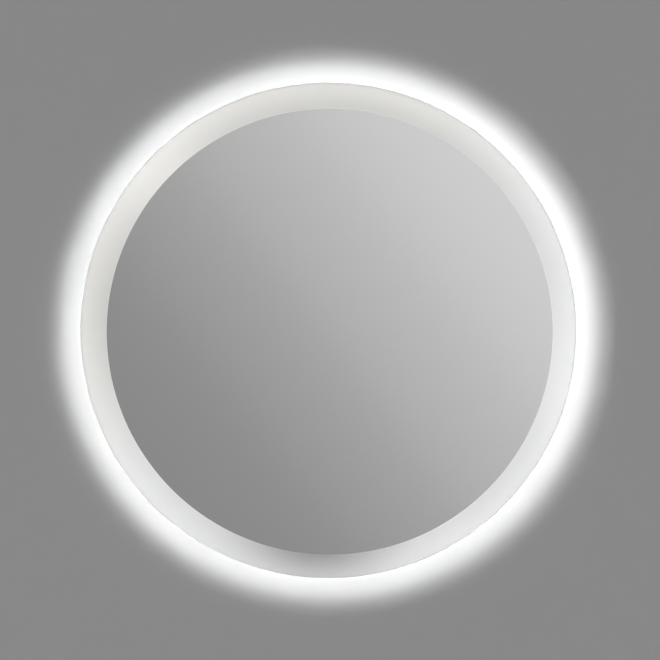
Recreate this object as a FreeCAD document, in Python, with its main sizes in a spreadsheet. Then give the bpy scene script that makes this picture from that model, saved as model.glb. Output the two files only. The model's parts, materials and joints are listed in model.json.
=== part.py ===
import FreeCAD, Part
import Sketcher
import math
import os

# A round mirror that hangs on a wall and glows behind its rim.
# X runs to the right, Z up, and the mirror faces -Y. The wall is the plane Y = 0, and the origin
# lies on it, at the centre of the four wall screws. A depth is a distance from the wall, so it
# is -Y. Lengths are in millimetres and angles in degrees.

SIZES = {
    # the glass disc and the layers on its back
    "glass_radius": 300.0,
    "glass_thickness": 5.0,
    "glass_arris": 0.8,
    "satin_width": 30.0,
    "coat_thickness": 0.2,
    "film_thickness": 0.3,
    "tape_thickness": 1.0,
    "tape_margin": 1.5,
    # the rolled aluminium ring
    "web_radius": 252.5,
    "ring_wall": 1.5,
    "ring_depth": 25.3,
    "flange_width": 18.0,
    "lip_radius": 294.0,
    "lip_length": 18.0,
    "channel_setback": 3.0,
    "light_bay": 10.2,
    "ledge_width": 10.9,
    "bead_height": 1.2,
    "seam_gap": 0.5,
    # the plate and rivets that close its seam
    "joint_length": 40.0,
    "joint_height": 6.6,
    "joint_sheet": 2.0,
    "joint_play": 0.05,
    "joint_gap": 0.5,
    "rivet_radius": 1.5,
    "rivet_head_radius": 2.8,
    "rivet_head_height": 0.9,
    "rivet_tail_radius": 2.1,
    "rivet_step": 3.2,
    # the light strip and its diffuser
    "strip_width": 8.0,
    "strip_thickness": 0.3,
    "strip_glue": 0.1,
    "solder_gap": 0.02,
    "strip_opening": 13.0,
    "chip_length": 3.5,
    "chip_width": 2.8,
    "chip_height": 0.8,
    "chip_count": 96,
    "chip_free_angle": 3.5,
    "diffuser_thickness": 1.6,
    "diffuser_play": 0.1,
    "bead_play": 0.2,
    "feed_length": 22.0,
    "feed_width": 6.8,
    "feed_height": 3.9,
    "feed_foot_length": 4.0,
    "feed_lift": 1.15,
    # the rails that hang the mirror
    "rail_sheet": 2.0,
    "upper_rail_height": 146.0,
    "lower_rail_height": -114.0,
    "wall_rail_length": 310.0,
    "wall_rail_width": 32.0,
    "wall_rail_step": 7.0,
    "tongue_height": 10.0,
    "slot_spacing": 240.0,
    "slot_width": 6.0,
    "slot_length": 16.0,
    "hook_length": 300.0,
    "hook_step": 7.7,
    "hook_play": 0.5,
    "hook_shortening": 1.0,
    "hanger_width": 40.0,
    "hanger_end_margin": 1.5,
    "hanger_screw_spread": 20.0,
    "hanger_screw_length": 5.5,
    "bumper_radius": 7.0,
    "bumper_place": 178.0,
    # the steel tray behind the glass
    "tray_length": 300.0,
    "tray_top": 119.0,
    "tray_bottom": -127.0,
    "tray_floor_depth": 33.5,
    "tray_sheet": 1.0,
    "tray_flange": 14.0,
    "tray_corner": 6.0,
    "tray_screw_place": 110.0,
    "tray_screw_inset": 5.0,
    "tray_screw_drop": 7.0,
    "tray_screw_length": 5.0,
    "pad_radius": 10.0,
    "pad_place_across": 125.0,
    "pad_place_up": 95.0,
    # pan-head screws, large and small
    "screw_radius": 2.0,
    "screw_head_radius": 3.8,
    "screw_head_height": 2.0,
    "screw_hole_play": 0.3,
    "small_screw_radius": 1.25,
    "small_head_radius": 2.3,
    "small_head_height": 1.4,
    "recess_share": 0.6,
    # the driver that feeds the light strip
    "driver_side_gap": 24.0,
    "driver_centre_up": -45.0,
    "driver_length": 142.0,
    "driver_width": 43.0,
    "driver_height": 20.0,
    "driver_wall": 1.5,
    "driver_floor": 2.0,
    "driver_corner": 3.0,
    "driver_ear": 10.0,
    "driver_ear_thickness": 2.0,
    "driver_screw_length": 4.5,
    "cover_thickness": 1.5,
    "cover_skirt": 3.0,
    "cover_play": 0.2,
    "cover_post_radius": 3.0,
    "cover_post_inset": 3.6,
    "cover_screw_length": 5.0,
    "board_length": 122.0,
    "board_width": 36.0,
    "board_thickness": 1.6,
    "board_lift": 1.5,
    "board_post_radius": 2.5,
    "transformer_length": 24.0,
    "transformer_width": 20.0,
    "transformer_height": 11.0,
    "core_band": 6.0,
    "core_proud": 1.0,
    "core_rim": 2.0,
    "core_rim_inset": 3.0,
    "capacitor_radius": 5.0,
    "capacitor_height": 12.0,
    "capacitor_place": 30.0,
    "capacitor_step": 12.0,
    "capacitor_side": 8.0,
    "sink_length": 26.0,
    "sink_height": 10.0,
    "sink_sheet": 1.5,
    "sink_spacing": 6.0,
    "sink_gap": 6.0,
    # the terminal box with its hinged lid
    "box_side_gap": 10.0,
    "box_length": 90.0,
    "box_bottom": 17.0,
    "box_top": 63.0,
    "box_wall": 2.0,
    "box_corner": 3.0,
    "box_rim_depth": 10.0,
    "lid_thickness": 2.0,
    "lid_edge_play": 0.6,
    "lid_lip_play": 0.4,
    "thumb_length": 16.0,
    "hinge_pin_radius": 1.0,
    "hinge_play": 0.05,
    "knuckle_radius": 3.0,
    "knuckle_length": 5.0,
    "knuckle_play": 0.3,
    "knuckle_inset": 8.0,
    "box_screw_length": 5.0,
    "box_screw_inset": 8.0,
    "block_length": 32.0,
    "block_width": 18.0,
    "block_height": 13.0,
    "block_inset": 24.0,
    "block_rise": 21.0,
    "pole_spacing": 10.0,
    "clamp_screw_radius": 1.9,
    "clamp_hole_radius": 2.2,
    "clamp_screw_depth": 1.0,
    "clamp_spacing": 9.0,
    "clamp_slot_width": 0.7,
    "clamp_slot_depth": 0.8,
    "wire_rise": 8.0,
    # the gland for the supply cable
    "gland_inset": 18.0,
    "gland_depth": 21.0,
    "gland_thread_radius": 6.0,
    "gland_hex_radius": 8.4,
    "gland_hex_height": 5.0,
    "gland_neck_radius": 6.6,
    "gland_neck_length": 7.0,
    "gland_nut_height": 4.0,
    "gland_cap_length": 13.0,
    "gland_cap_wall": 1.7,
    "gland_cable_radius": 3.5,
    "gland_bore_play": 0.7,
    "seal_length": 8.0,
    # the leads, their grommets and clips
    "input_lead_radius": 2.75,
    "led_lead_radius": 2.1,
    "wire_radius": 1.1,
    "lead_depth": 25.0,
    "lead_hole_play": 0.3,
    "grommet_neck": 1.2,
    "grommet_rim": 1.4,
    "grommet_rim_thickness": 1.0,
    "grommet_play": 0.1,
    "input_lead_inset": 44.0,
    "sheath_reach": 6.0,
    "core_spread": 1.35,
    "core_reach": 4.0,
    "core_bend": 3.0,
    "input_turn": 28.0,
    "led_lead_start": 40.0,
    "led_lead_shift": 22.0,
    "led_turn": 34.0,
    "clip_length": 10.0,
    "clip_wall": 2.0,
    # the earth connection on the tray
    "earth_inset": 23.0,
    "earth_up": 31.0,
    "tag_radius": 4.5,
    "tag_thickness": 0.8,
    "tag_sleeve_length": 7.0,
    "tag_sleeve_radius": 1.9,
    "tag_neck_length": 2.0,
    "tag_grip": 3.0,
    "earth_screw_length": 4.0,
}

# how far a cutting shape runs past what it cuts, and how deep a joined shape is let in
PAST = 1.0
SUNK = 0.5

# the form of a pan-head screw, as shares of its own sizes
HEAD_TOP = 0.7
HEAD_SIDE = 0.45
TIP_LENGTH = 0.6
TIP_RADIUS = 0.4
DRIVE_WIDTH = 0.26

doc = FreeCAD.newDocument("lighted_mirror")
sheet = doc.addObject("Spreadsheet::Sheet", "Sizes")
for row, (name, number) in enumerate(SIZES.items(), start=1):
    sheet.set(f"A{row}", name)
    sheet.set(f"B{row}", str(number))
    sheet.setAlias(f"B{row}", name)
doc.recompute()


class Size:
    """A number together with the sheet formula that gives it."""

    def __init__(self, value, formula):
        self.value = value
        self.formula = formula

    def __add__(self, other):
        return joined(self, "+", other, value_of(self) + value_of(other))

    def __radd__(self, other):
        return joined(other, "+", self, value_of(other) + value_of(self))

    def __sub__(self, other):
        return joined(self, "-", other, value_of(self) - value_of(other))

    def __rsub__(self, other):
        return joined(other, "-", self, value_of(other) - value_of(self))

    def __mul__(self, other):
        return joined(self, "*", other, value_of(self) * value_of(other))

    def __rmul__(self, other):
        return joined(other, "*", self, value_of(other) * value_of(self))

    def __truediv__(self, other):
        return joined(self, "/", other, value_of(self) / value_of(other))

    def __neg__(self):
        return joined(0, "-", self, -value_of(self))


def value_of(size):
    return size.value if isinstance(size, Size) else size


def formula_of(size):
    return size.formula if isinstance(size, Size) else f"({size})"


def joined(left, sign, right, value):
    return Size(value, f"({formula_of(left)} {sign} {formula_of(right)})")


def leg(long_side, short_side):
    """The other short side of a right-angled triangle."""
    value = math.sqrt(value_of(long_side) ** 2 - value_of(short_side) ** 2)
    long_text = formula_of(long_side)
    short_text = formula_of(short_side)
    return Size(value, f"sqrt({long_text} * {long_text} - {short_text} * {short_text})")


def sine(angle):
    return Size(math.sin(math.radians(value_of(angle))), f"sin({formula_of(angle)})")


def cosine(angle):
    return Size(math.cos(math.radians(value_of(angle))), f"cos({formula_of(angle)})")


class Cells:
    """The cells of the sheet, each as a Size."""

    def __init__(self, numbers):
        for cell, number in numbers.items():
            setattr(self, cell, Size(number, f"Sizes.{cell}"))


s = Cells(SIZES)

# ---------------------------------------------------------------- depths and radii that follow

hook_front = s.wall_rail_step - s.rail_sheet - s.hook_play
hook_back = hook_front - s.rail_sheet
ring_back = hook_back + s.hook_step
hanger_back = ring_back - s.rail_sheet
ring_front = ring_back + s.ring_depth
film_back = ring_front + s.tape_thickness
coat_back = film_back + s.film_thickness
glass_back = coat_back + s.coat_thickness
glass_front = glass_back + s.glass_thickness

silver_radius = s.glass_radius - s.satin_width
web_inside = s.web_radius - s.ring_wall
flange_inside = web_inside - s.flange_width
flange_middle = web_inside - s.flange_width / 2
lip_inside = s.lip_radius - s.ring_wall
channel_front = ring_front - s.channel_setback
channel_floor = channel_front - s.ring_wall
lip_tip = channel_front - s.lip_length
ledge_front = channel_floor - s.light_bay
ledge_back = ledge_front - s.ring_wall
ledge_radius = s.web_radius + s.ledge_width
bead_radius = ledge_radius - s.bead_height
strip_middle = (channel_floor + ledge_front) / 2

tray_floor = s.tray_floor_depth - s.tray_sheet
tray_left = -s.tray_length / 2
tray_right = s.tray_length / 2
driver_centre_across = tray_left + s.driver_side_gap + s.driver_ear + s.driver_length / 2
box_right = tray_right - s.box_side_gap
box_left = box_right - s.box_length
block_left = box_left + s.block_inset
gland_across = box_right - s.gland_inset
input_lead_across = box_right - s.input_lead_inset
earth_across = box_left - s.earth_inset
screw_hole_radius = s.screw_radius + s.screw_hole_play

UP = FreeCAD.Vector(0, 0, 1)
ACROSS = FreeCAD.Vector(1, 0, 0)
OUTWARD = FreeCAD.Vector(0, 1, 0)
NODES = []


# ---------------------------------------------------------------- helpers for the model

def bind(thing, property_name, size):
    if isinstance(size, Size):
        thing.setExpression(property_name, size.formula)
    else:
        setattr(thing, property_name, size)


def put(thing, x, depth, z, rotation=FreeCAD.Rotation()):
    """Place a thing by its own origin, given as across, depth and height."""
    y = -value_of(depth)
    thing.Placement = FreeCAD.Placement(FreeCAD.Vector(value_of(x), y, value_of(z)), rotation)
    for axis, size in (("x", x), ("y", -1 * depth), ("z", z)):
        if isinstance(size, Size):
            thing.setExpression(f"Placement.Base.{axis}", size.formula)
    return thing


def fresh(kind, name):
    thing = doc.addObject(kind, name)
    thing.Label = name
    return thing


def node(thing, label):
    """Give a finished piece the name of its node."""
    thing.Label = label
    NODES.append(thing)
    return thing


def block(name, x, depth, z):
    """A rectangular block, each direction as (low, high)."""
    thing = fresh("Part::Box", name)
    bind(thing, "Length", x[1] - x[0])
    bind(thing, "Width", depth[1] - depth[0])
    bind(thing, "Height", z[1] - z[0])
    return put(thing, x[0], depth[1], z[0])


def rod_in(name, x, depth, z, radius):
    """A cylinder whose axis is the direction that is given as (low, high)."""
    thing = fresh("Part::Cylinder", name)
    bind(thing, "Radius", radius)
    if isinstance(x, tuple):
        bind(thing, "Height", x[1] - x[0])
        return put(thing, x[0], depth, z, FreeCAD.Rotation(OUTWARD, 90))
    if isinstance(depth, tuple):
        bind(thing, "Height", depth[1] - depth[0])
        return put(thing, x, depth[0], z, FreeCAD.Rotation(ACROSS, 90))
    bind(thing, "Height", z[1] - z[0])
    return put(thing, x, depth, z[0])


def spoke(name, angle, depth, inside, outside, radius):
    """A cylinder that points out from the mirror's axis, its angle measured from straight up."""
    thing = fresh("Part::Cylinder", name)
    bind(thing, "Radius", radius)
    bind(thing, "Height", outside - inside)
    turn = FreeCAD.Rotation(OUTWARD, value_of(angle))
    put(thing, inside * sine(angle), depth, inside * cosine(angle), turn)
    thing.setExpression("Placement.Rotation.Angle", formula_of(angle))
    return thing


def hexagon(name, x, depth, z, radius):
    """An upright six-sided prism, z as (low, high)."""
    thing = fresh("Part::Prism", name)
    thing.Polygon = 6
    bind(thing, "Circumradius", radius)
    bind(thing, "Height", z[1] - z[0])
    return put(thing, x, depth, z[0])


def group(name, pieces):
    thing = fresh("Part::Compound", name)
    thing.Links = pieces
    return thing


def cut(name, base, tools):
    thing = fresh("Part::Cut", name)
    thing.Base = base
    thing.Tool = tools[0] if len(tools) == 1 else group(f"{name}_tools", tools)
    return thing


def union(name, pieces):
    thing = fresh("Part::MultiFuse", name)
    thing.Shapes = pieces
    thing.Refine = True
    return thing


def overlap(name, first, second):
    thing = fresh("Part::Common", name)
    thing.Base = first
    thing.Tool = second
    return thing


def origin_part(body, role):
    for feature in body.Origin.OriginFeatures:
        if feature.Role == role:
            return feature
    raise ValueError(role)


def sketch_on(body, name, plane):
    drawing = body.newObject("Sketcher::SketchObject", name)
    drawing.AttachmentSupport = [(origin_part(body, plane), "")]
    drawing.MapMode = "FlatFace"
    return drawing


def pin_point(drawing, edge, end, point):
    """Hold one end of an edge at its place, measured from the sketch's origin."""
    for kind, size in zip(("DistanceX", "DistanceY"), point):
        number = drawing.addConstraint(Sketcher.Constraint(kind, -1, 1, edge, end, value_of(size)))
        if isinstance(size, Size):
            drawing.renameConstraint(number, f"place{number}")
            drawing.setExpression(f"Constraints.place{number}", size.formula)


def draw_outline(drawing, points):
    """A closed outline of straight lines through the points."""
    spots = [FreeCAD.Vector(value_of(x), value_of(y), 0) for x, y in points]
    count = len(spots)
    lines = [Part.LineSegment(spots[i], spots[(i + 1) % count]) for i in range(count)]
    drawing.addGeometry(lines, False)
    for i in range(count):
        drawing.addConstraint(Sketcher.Constraint("Coincident", i, 2, (i + 1) % count, 1))
    for i, point in enumerate(points):
        pin_point(drawing, i, 1, point)


def draw_rounded_rectangle(drawing, across, upward, radius):
    """A rectangle with round corners, each direction as (low, high)."""
    low_x, high_x = across
    low_y, high_y = upward
    ends = [
        ((low_x + radius, low_y), (high_x - radius, low_y)),
        ((high_x, low_y + radius), (high_x, high_y - radius)),
        ((high_x - radius, high_y), (low_x + radius, high_y)),
        ((low_x, high_y - radius), (low_x, low_y + radius)),
    ]
    centres = [
        (high_x - radius, low_y + radius),
        (high_x - radius, high_y - radius),
        (low_x + radius, high_y - radius),
        (low_x + radius, low_y + radius),
    ]
    for start, finish in ends:
        start_spot = FreeCAD.Vector(value_of(start[0]), value_of(start[1]), 0)
        finish_spot = FreeCAD.Vector(value_of(finish[0]), value_of(finish[1]), 0)
        drawing.addGeometry(Part.LineSegment(start_spot, finish_spot), False)
    for corner, centre in enumerate(centres):
        spot = FreeCAD.Vector(value_of(centre[0]), value_of(centre[1]), 0)
        circle = Part.Circle(spot, FreeCAD.Vector(0, 0, 1), value_of(radius))
        start_angle = math.radians(90 * corner - 90)
        drawing.addGeometry(Part.ArcOfCircle(circle, start_angle, start_angle + math.pi / 2), False)
    for side, (start, finish) in enumerate(ends):
        pin_point(drawing, side, 1, start)
        pin_point(drawing, side, 2, finish)
    for corner in range(4):
        arc = 4 + corner
        drawing.addConstraint(Sketcher.Constraint("Coincident", arc, 1, corner, 2))
        drawing.addConstraint(Sketcher.Constraint("Coincident", arc, 2, (corner + 1) % 4, 1))
        number = drawing.addConstraint(Sketcher.Constraint("Radius", arc, value_of(radius)))
        if isinstance(radius, Size):
            drawing.renameConstraint(number, f"corner{corner}")
            drawing.setExpression(f"Constraints.corner{corner}", radius.formula)


def turned(name, outline):
    """A body of revolution about the mirror's axis, its outline as (radius, depth) points."""
    body = fresh("PartDesign::Body", name)
    drawing = sketch_on(body, f"{name}_outline", "XY_Plane")
    draw_outline(drawing, [(radius, -1 * depth) for radius, depth in outline])
    solid = body.newObject("PartDesign::Revolution", f"{name}_turn")
    solid.Profile = drawing
    solid.ReferenceAxis = (drawing, ["V_Axis"])
    solid.Angle = 360
    return body


def washer(name, radii, depth):
    """A flat ring round the mirror's axis, or a disc when the inner radius is nought."""
    return turned(name, [
        (radii[0], depth[0]),
        (radii[1], depth[0]),
        (radii[1], depth[1]),
        (radii[0], depth[1]),
    ])


def profile_along_x(name, outline, length):
    """A bar of constant section, its outline as (depth, height) points, centred on X = 0."""
    body = fresh("PartDesign::Body", name)
    drawing = sketch_on(body, f"{name}_section", "YZ_Plane")
    draw_outline(drawing, [(-1 * depth, height) for depth, height in outline])
    solid = body.newObject("PartDesign::Pad", f"{name}_pad")
    solid.Profile = drawing
    solid.Midplane = True
    bind(solid, "Length", length)
    return body


def rounded_block(name, x, depth, z, corner):
    """A block whose four edges along Y are rounded."""
    body = fresh("PartDesign::Body", name)
    drawing = sketch_on(body, f"{name}_section", "XZ_Plane")
    draw_rounded_rectangle(drawing, x, z, corner)
    drawing.setExpression("AttachmentOffset.Base.z", formula_of(depth[0]))
    solid = body.newObject("PartDesign::Pad", f"{name}_pad")
    solid.Profile = drawing
    bind(solid, "Length", depth[1] - depth[0])
    return body


def slot(name, x, depth, z, length, width):
    """A slot-shaped rod along Y, with its length along X."""
    half = (length - width) / 2
    left = rod_in(f"{name}_left", x - half, depth, z, width / 2)
    right = rod_in(f"{name}_right", x + half, depth, z, width / 2)
    middle = block(f"{name}_middle", (x - half, x + half), depth, (z - width / 2, z + width / 2))
    return union(name, [left, right, middle])


def pan_screw(name, radius, length, head_radius, head_height):
    """A screw along Y whose head rests at Y = 0 and whose shank points to -Y."""
    body = fresh("PartDesign::Body", name)
    drawing = sketch_on(body, f"{name}_outline", "XY_Plane")
    draw_outline(drawing, [
        (0, head_height),
        (head_radius * HEAD_TOP, head_height),
        (head_radius, head_height * HEAD_SIDE),
        (head_radius, 0),
        (radius, 0),
        (radius, radius * TIP_LENGTH - length),
        (radius * TIP_RADIUS, -1 * length),
        (0, -1 * length),
    ])
    solid = body.newObject("PartDesign::Revolution", f"{name}_turn")
    solid.Profile = drawing
    solid.ReferenceAxis = (drawing, ["V_Axis"])
    solid.Angle = 360
    doc.recompute()
    whole = body.Shape.Volume
    arm = head_radius * s.recess_share
    half = head_radius * DRIVE_WIDTH / 2
    cross = sketch_on(body, f"{name}_recess", "XZ_Plane")
    draw_outline(cross, [
        (arm, -1 * half), (arm, half), (half, half), (half, arm),
        (-1 * half, arm), (-1 * half, half), (-1 * arm, half), (-1 * arm, -1 * half),
        (-1 * half, -1 * half), (-1 * half, -1 * arm), (half, -1 * arm), (half, -1 * half),
    ])
    cross.setExpression("AttachmentOffset.Base.z", formula_of(-1 * head_height))
    pocket = body.newObject("PartDesign::Pocket", f"{name}_drive")
    pocket.Profile = cross
    pocket.Reversed = True
    bind(pocket, "Length", head_height * s.recess_share)
    doc.recompute()
    if not body.Shape.Volume < whole:
        raise ValueError(f"{name} has no drive recess")
    return body


def copies(name, original, places):
    """Copies of one piece, each at its own (x, depth, z)."""
    links = []
    for number, (x, depth, z) in enumerate(places, start=1):
        link = fresh("App::Link", f"{name}_{number}")
        link.LinkedObject = original
        links.append(put(link, x, depth, z))
    return group(f"{name}_set", links)


def all_four(x, z):
    """The corners of a rectangle about the origin."""
    return [(side * x, end * z) for side in (-1, 1) for end in (-1, 1)]


# ---------------------------------------------------------------- glass and layers

def make_glass():
    glass = turned("glass_disc", [
        (0, glass_back),
        (s.glass_radius - s.glass_arris, glass_back),
        (s.glass_radius, glass_back + s.glass_arris),
        (s.glass_radius, glass_front - s.glass_arris),
        (s.glass_radius - s.glass_arris, glass_front),
        (0, glass_front),
    ])
    node(glass, "mirror_glass")
    node(washer("silvering", (0, silver_radius), (coat_back, glass_back)), "silver_layer")
    satin_radii = (silver_radius, s.glass_radius - s.glass_arris)
    node(washer("satin_band", satin_radii, (coat_back, glass_back)), "satin_layer")
    node(washer("safety_film", (0, silver_radius), (film_back, coat_back)), "backing_film")
    tape_radii = (flange_inside + s.tape_margin, web_inside - s.tape_margin)
    node(washer("foam_tape", tape_radii, (ring_front, film_back)), "bonding_tape")


# ---------------------------------------------------------------- carrier ring

joint_back = ring_back + s.ring_wall + s.joint_gap
joint_depth = (joint_back, joint_back + s.joint_height)
rivet_depth = (joint_depth[0] + joint_depth[1]) / 2
RIVET_STEPS = (-1.5, -0.5, 0.5, 1.5)


def rivet_spokes(name, inside, outside, radius):
    return [
        spoke(f"{name}_{number}", 180 + s.rivet_step * step, rivet_depth, inside, outside, radius)
        for number, step in enumerate(RIVET_STEPS, start=1)
    ]


def hanger_screw_places(rail_height):
    """Two screws at each end of a hanger rail, in the middle of the ring's back flange."""
    middle = rail_height + s.tongue_height + s.rail_sheet - s.hanger_width / 2
    heights = (middle - s.hanger_screw_spread / 2, middle + s.hanger_screw_spread / 2)
    return [(side * leg(flange_middle, z), hanger_back, z) for side in (-1, 1) for z in heights]


def make_ring():
    profile = turned("ring_section", [
        (flange_inside, ring_back),
        (s.web_radius, ring_back),
        (s.web_radius, ledge_back),
        (ledge_radius, ledge_back),
        (ledge_radius, ledge_front + s.bead_height),
        (bead_radius, ledge_front + s.bead_height),
        (bead_radius, ledge_front),
        (s.web_radius, ledge_front),
        (s.web_radius, channel_floor),
        (bead_radius, channel_floor),
        (bead_radius, channel_floor - s.bead_height),
        (ledge_radius, channel_floor - s.bead_height),
        (ledge_radius, channel_floor),
        (lip_inside, channel_floor),
        (lip_inside, lip_tip),
        (s.lip_radius, lip_tip),
        (s.lip_radius, channel_front),
        (s.web_radius, channel_front),
        (s.web_radius, ring_front),
        (flange_inside, ring_front),
        (flange_inside, ring_front - s.ring_wall),
        (web_inside, ring_front - s.ring_wall),
        (web_inside, ring_back + s.ring_wall),
        (flange_inside, ring_back + s.ring_wall),
    ])
    seam_depth = (ring_back - PAST, ring_front + PAST)
    seam_height = (-1 * s.glass_radius, -1 * flange_inside + PAST)
    tools = [block("seam", (s.seam_gap / -2, s.seam_gap / 2), seam_depth, seam_height)]
    tools += rivet_spokes("rivet_hole", flange_inside, ledge_radius - PAST, s.rivet_radius)
    web_hole = (-1 * s.web_radius - PAST, -1 * web_inside + PAST)
    tools.append(rod_in("web_lead_hole", web_hole, strip_middle, 0, lead_hole_radius))
    for rail_height in (s.upper_rail_height, s.lower_rail_height):
        for x, depth, z in hanger_screw_places(rail_height):
            hole_depth = (ring_back - PAST, ring_back + s.ring_wall + PAST)
            tools.append(rod_in("hanger_thread", x, hole_depth, z, s.screw_radius))
    node(cut("ring_cut", profile, tools), "carrier_ring")

    plate_outside = web_inside - s.joint_play
    plate_face = plate_outside - s.joint_sheet
    plate = washer("joint_ring", (plate_face, plate_outside), joint_depth)
    window_x = (s.joint_length / -2, s.joint_length / 2)
    window = block("joint_window", window_x, seam_depth, seam_height)
    piece = overlap("joint_piece", plate, window)
    holes = rivet_spokes("plate_hole", flange_inside, s.web_radius, s.rivet_radius)
    node(cut("joint_cut", piece, holes), "ring_joint_plate")

    head_face = plate_face - s.joint_play
    tail_face = s.web_radius + s.joint_play
    shanks = rivet_spokes("rivet_shank", head_face - SUNK, tail_face + SUNK, s.rivet_radius)
    heads = rivet_spokes(
        "rivet_head", head_face - s.rivet_head_height, head_face, s.rivet_head_radius)
    tails = rivet_spokes(
        "rivet_tail", tail_face, tail_face + s.rivet_head_height, s.rivet_tail_radius)
    rivets = [union(f"rivet_{i}", list(parts)) for i, parts in enumerate(zip(shanks, heads, tails))]
    node(group("rivets", rivets), "ring_joint_rivets")


# ---------------------------------------------------------------- light strip

strip_inside = s.web_radius + s.strip_glue
strip_outside = strip_inside + s.strip_thickness
chip_base = strip_outside + s.solder_gap
feed_back = s.web_radius + s.feed_lift
lead_hole_radius = s.led_lead_radius + s.grommet_neck


def make_light():
    strip_depth = (strip_middle - s.strip_width / 2, strip_middle + s.strip_width / 2)
    band = washer("strip_band", (strip_inside, strip_outside), strip_depth)
    opening_z = (s.strip_opening / -2, s.strip_opening / 2)
    opening_x = (-1 * strip_outside - PAST, -1 * web_inside)
    opening = block("strip_opening", opening_x, strip_depth, opening_z)
    node(cut("strip_cut", band, [opening]), "led_strip")

    chips = fresh("PartDesign::Body", "chip_row")
    drawing = sketch_on(chips, "chip_section", "XZ_Plane")
    half = s.chip_length / 2
    draw_outline(drawing, [
        (chip_base, -1 * half),
        (chip_base + s.chip_height, -1 * half),
        (chip_base + s.chip_height, half),
        (chip_base, half),
    ])
    drawing.setExpression(
        "AttachmentOffset.Base.z", formula_of(strip_middle - s.chip_width / 2))
    chip = chips.newObject("PartDesign::Pad", "chip_pad")
    chip.Profile = drawing
    bind(chip, "Length", s.chip_width)
    doc.recompute()
    pattern = chips.newObject("PartDesign::PolarPattern", "chip_pattern")
    pattern.Originals = [chip]
    pattern.Axis = (origin_part(chips, "Y_Axis"), [""])
    bind(pattern, "Angle", 360 - s.chip_free_angle * 2)
    bind(pattern, "Occurrences", s.chip_count)
    chips.Tip = pattern
    first_angle = 180 + s.chip_free_angle
    turn = FreeCAD.Rotation(OUTWARD, first_angle.value)
    chips.Placement = FreeCAD.Placement(FreeCAD.Vector(0, 0, 0), turn)
    chips.setExpression("Placement.Rotation.Angle", first_angle.formula)
    node(chips, "led_chips")

    outside = bead_radius - s.bead_play
    diffuser_depth = (ledge_front + s.diffuser_play, channel_floor - s.diffuser_play)
    ring = washer("opal_ring", (outside - s.diffuser_thickness, outside), diffuser_depth)
    joint_x = (s.seam_gap / -2, s.seam_gap / 2)
    joint = block("opal_joint", joint_x, diffuser_depth, (-1 * outside - PAST, -1 * s.web_radius))
    node(cut("opal_cut", ring, [joint]), "led_diffuser")

    feed_z = (s.feed_length / -2, s.feed_length / 2)
    feed_depth = (strip_middle - s.feed_width / 2, strip_middle + s.feed_width / 2)
    top = (-1 * feed_back - s.feed_height, -1 * feed_back)
    bridge = block("feed_bridge", top, feed_depth, feed_z)
    foot_x = (-1 * feed_back, -1 * strip_outside)
    lower = block("feed_foot_low", foot_x, feed_depth, (feed_z[0], feed_z[0] + s.feed_foot_length))
    upper = block("feed_foot_high", foot_x, feed_depth, (feed_z[1] - s.feed_foot_length, feed_z[1]))
    strip_space = washer("feed_strip_space", (web_inside, strip_outside), feed_depth)
    whole = union("feed_body", [bridge, lower, upper])
    node(cut("feed_cut", whole, [strip_space]), "led_feed_connector")


# ---------------------------------------------------------------- rails

def make_wall_rail(label, height):
    bar = profile_along_x(f"{label}_bar", [
        (0, height - s.wall_rail_width),
        (s.rail_sheet, height - s.wall_rail_width),
        (s.rail_sheet, height - s.rail_sheet),
        (s.wall_rail_step, height - s.rail_sheet),
        (s.wall_rail_step, height + s.tongue_height),
        (s.wall_rail_step - s.rail_sheet, height + s.tongue_height),
        (s.wall_rail_step - s.rail_sheet, height),
        (0, height),
    ], s.wall_rail_length)
    slots = []
    for side in (-1, 1):
        centre = side * s.slot_spacing / 2
        middle = height - s.wall_rail_width / 2
        depth = (-1 * s.rail_sheet, s.rail_sheet * 2)
        slots.append(slot(f"{label}_slot", centre, depth, middle, s.slot_length, s.slot_width))
    node(cut(f"{label}_cut", bar, slots), label)


def tray_screw_heights():
    return (s.tray_top + s.tray_screw_inset, s.tray_bottom - s.tray_screw_drop)


def make_hanger_rail(label, rail_height, tray_screw_height):
    top = rail_height + s.tongue_height + s.rail_sheet
    bottom = top - s.hanger_width
    bar = profile_along_x(f"{label}_hook", [
        (hanger_back, bottom),
        (ring_back, bottom),
        (ring_back, top),
        (hook_back, top),
        (hook_back, rail_height + s.hook_shortening),
        (hook_front, rail_height + s.hook_shortening),
        (hook_front, top - s.rail_sheet),
        (hanger_back, top - s.rail_sheet),
    ], s.hook_length)
    wide = block(
        f"{label}_wide", (-1 * web_inside, web_inside), (hanger_back, ring_back), (bottom, top))
    limit = washer(
        f"{label}_limit", (0, web_inside - s.hanger_end_margin), (hanger_back, ring_back))
    whole = union(f"{label}_whole", [bar, overlap(f"{label}_plate", wide, limit)])
    hole_depth = (hanger_back - PAST, ring_back + PAST)
    tools = [
        rod_in(f"{label}_screw_hole", x, hole_depth, z, screw_hole_radius)
        for x, depth, z in hanger_screw_places(rail_height)
    ]
    for side in (-1, 1):
        x = side * s.tray_screw_place
        tools.append(rod_in(f"{label}_tray_hole", x, hole_depth, tray_screw_height, screw_hole_radius))
    node(cut(f"{label}_cut", whole, tools), label)


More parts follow.
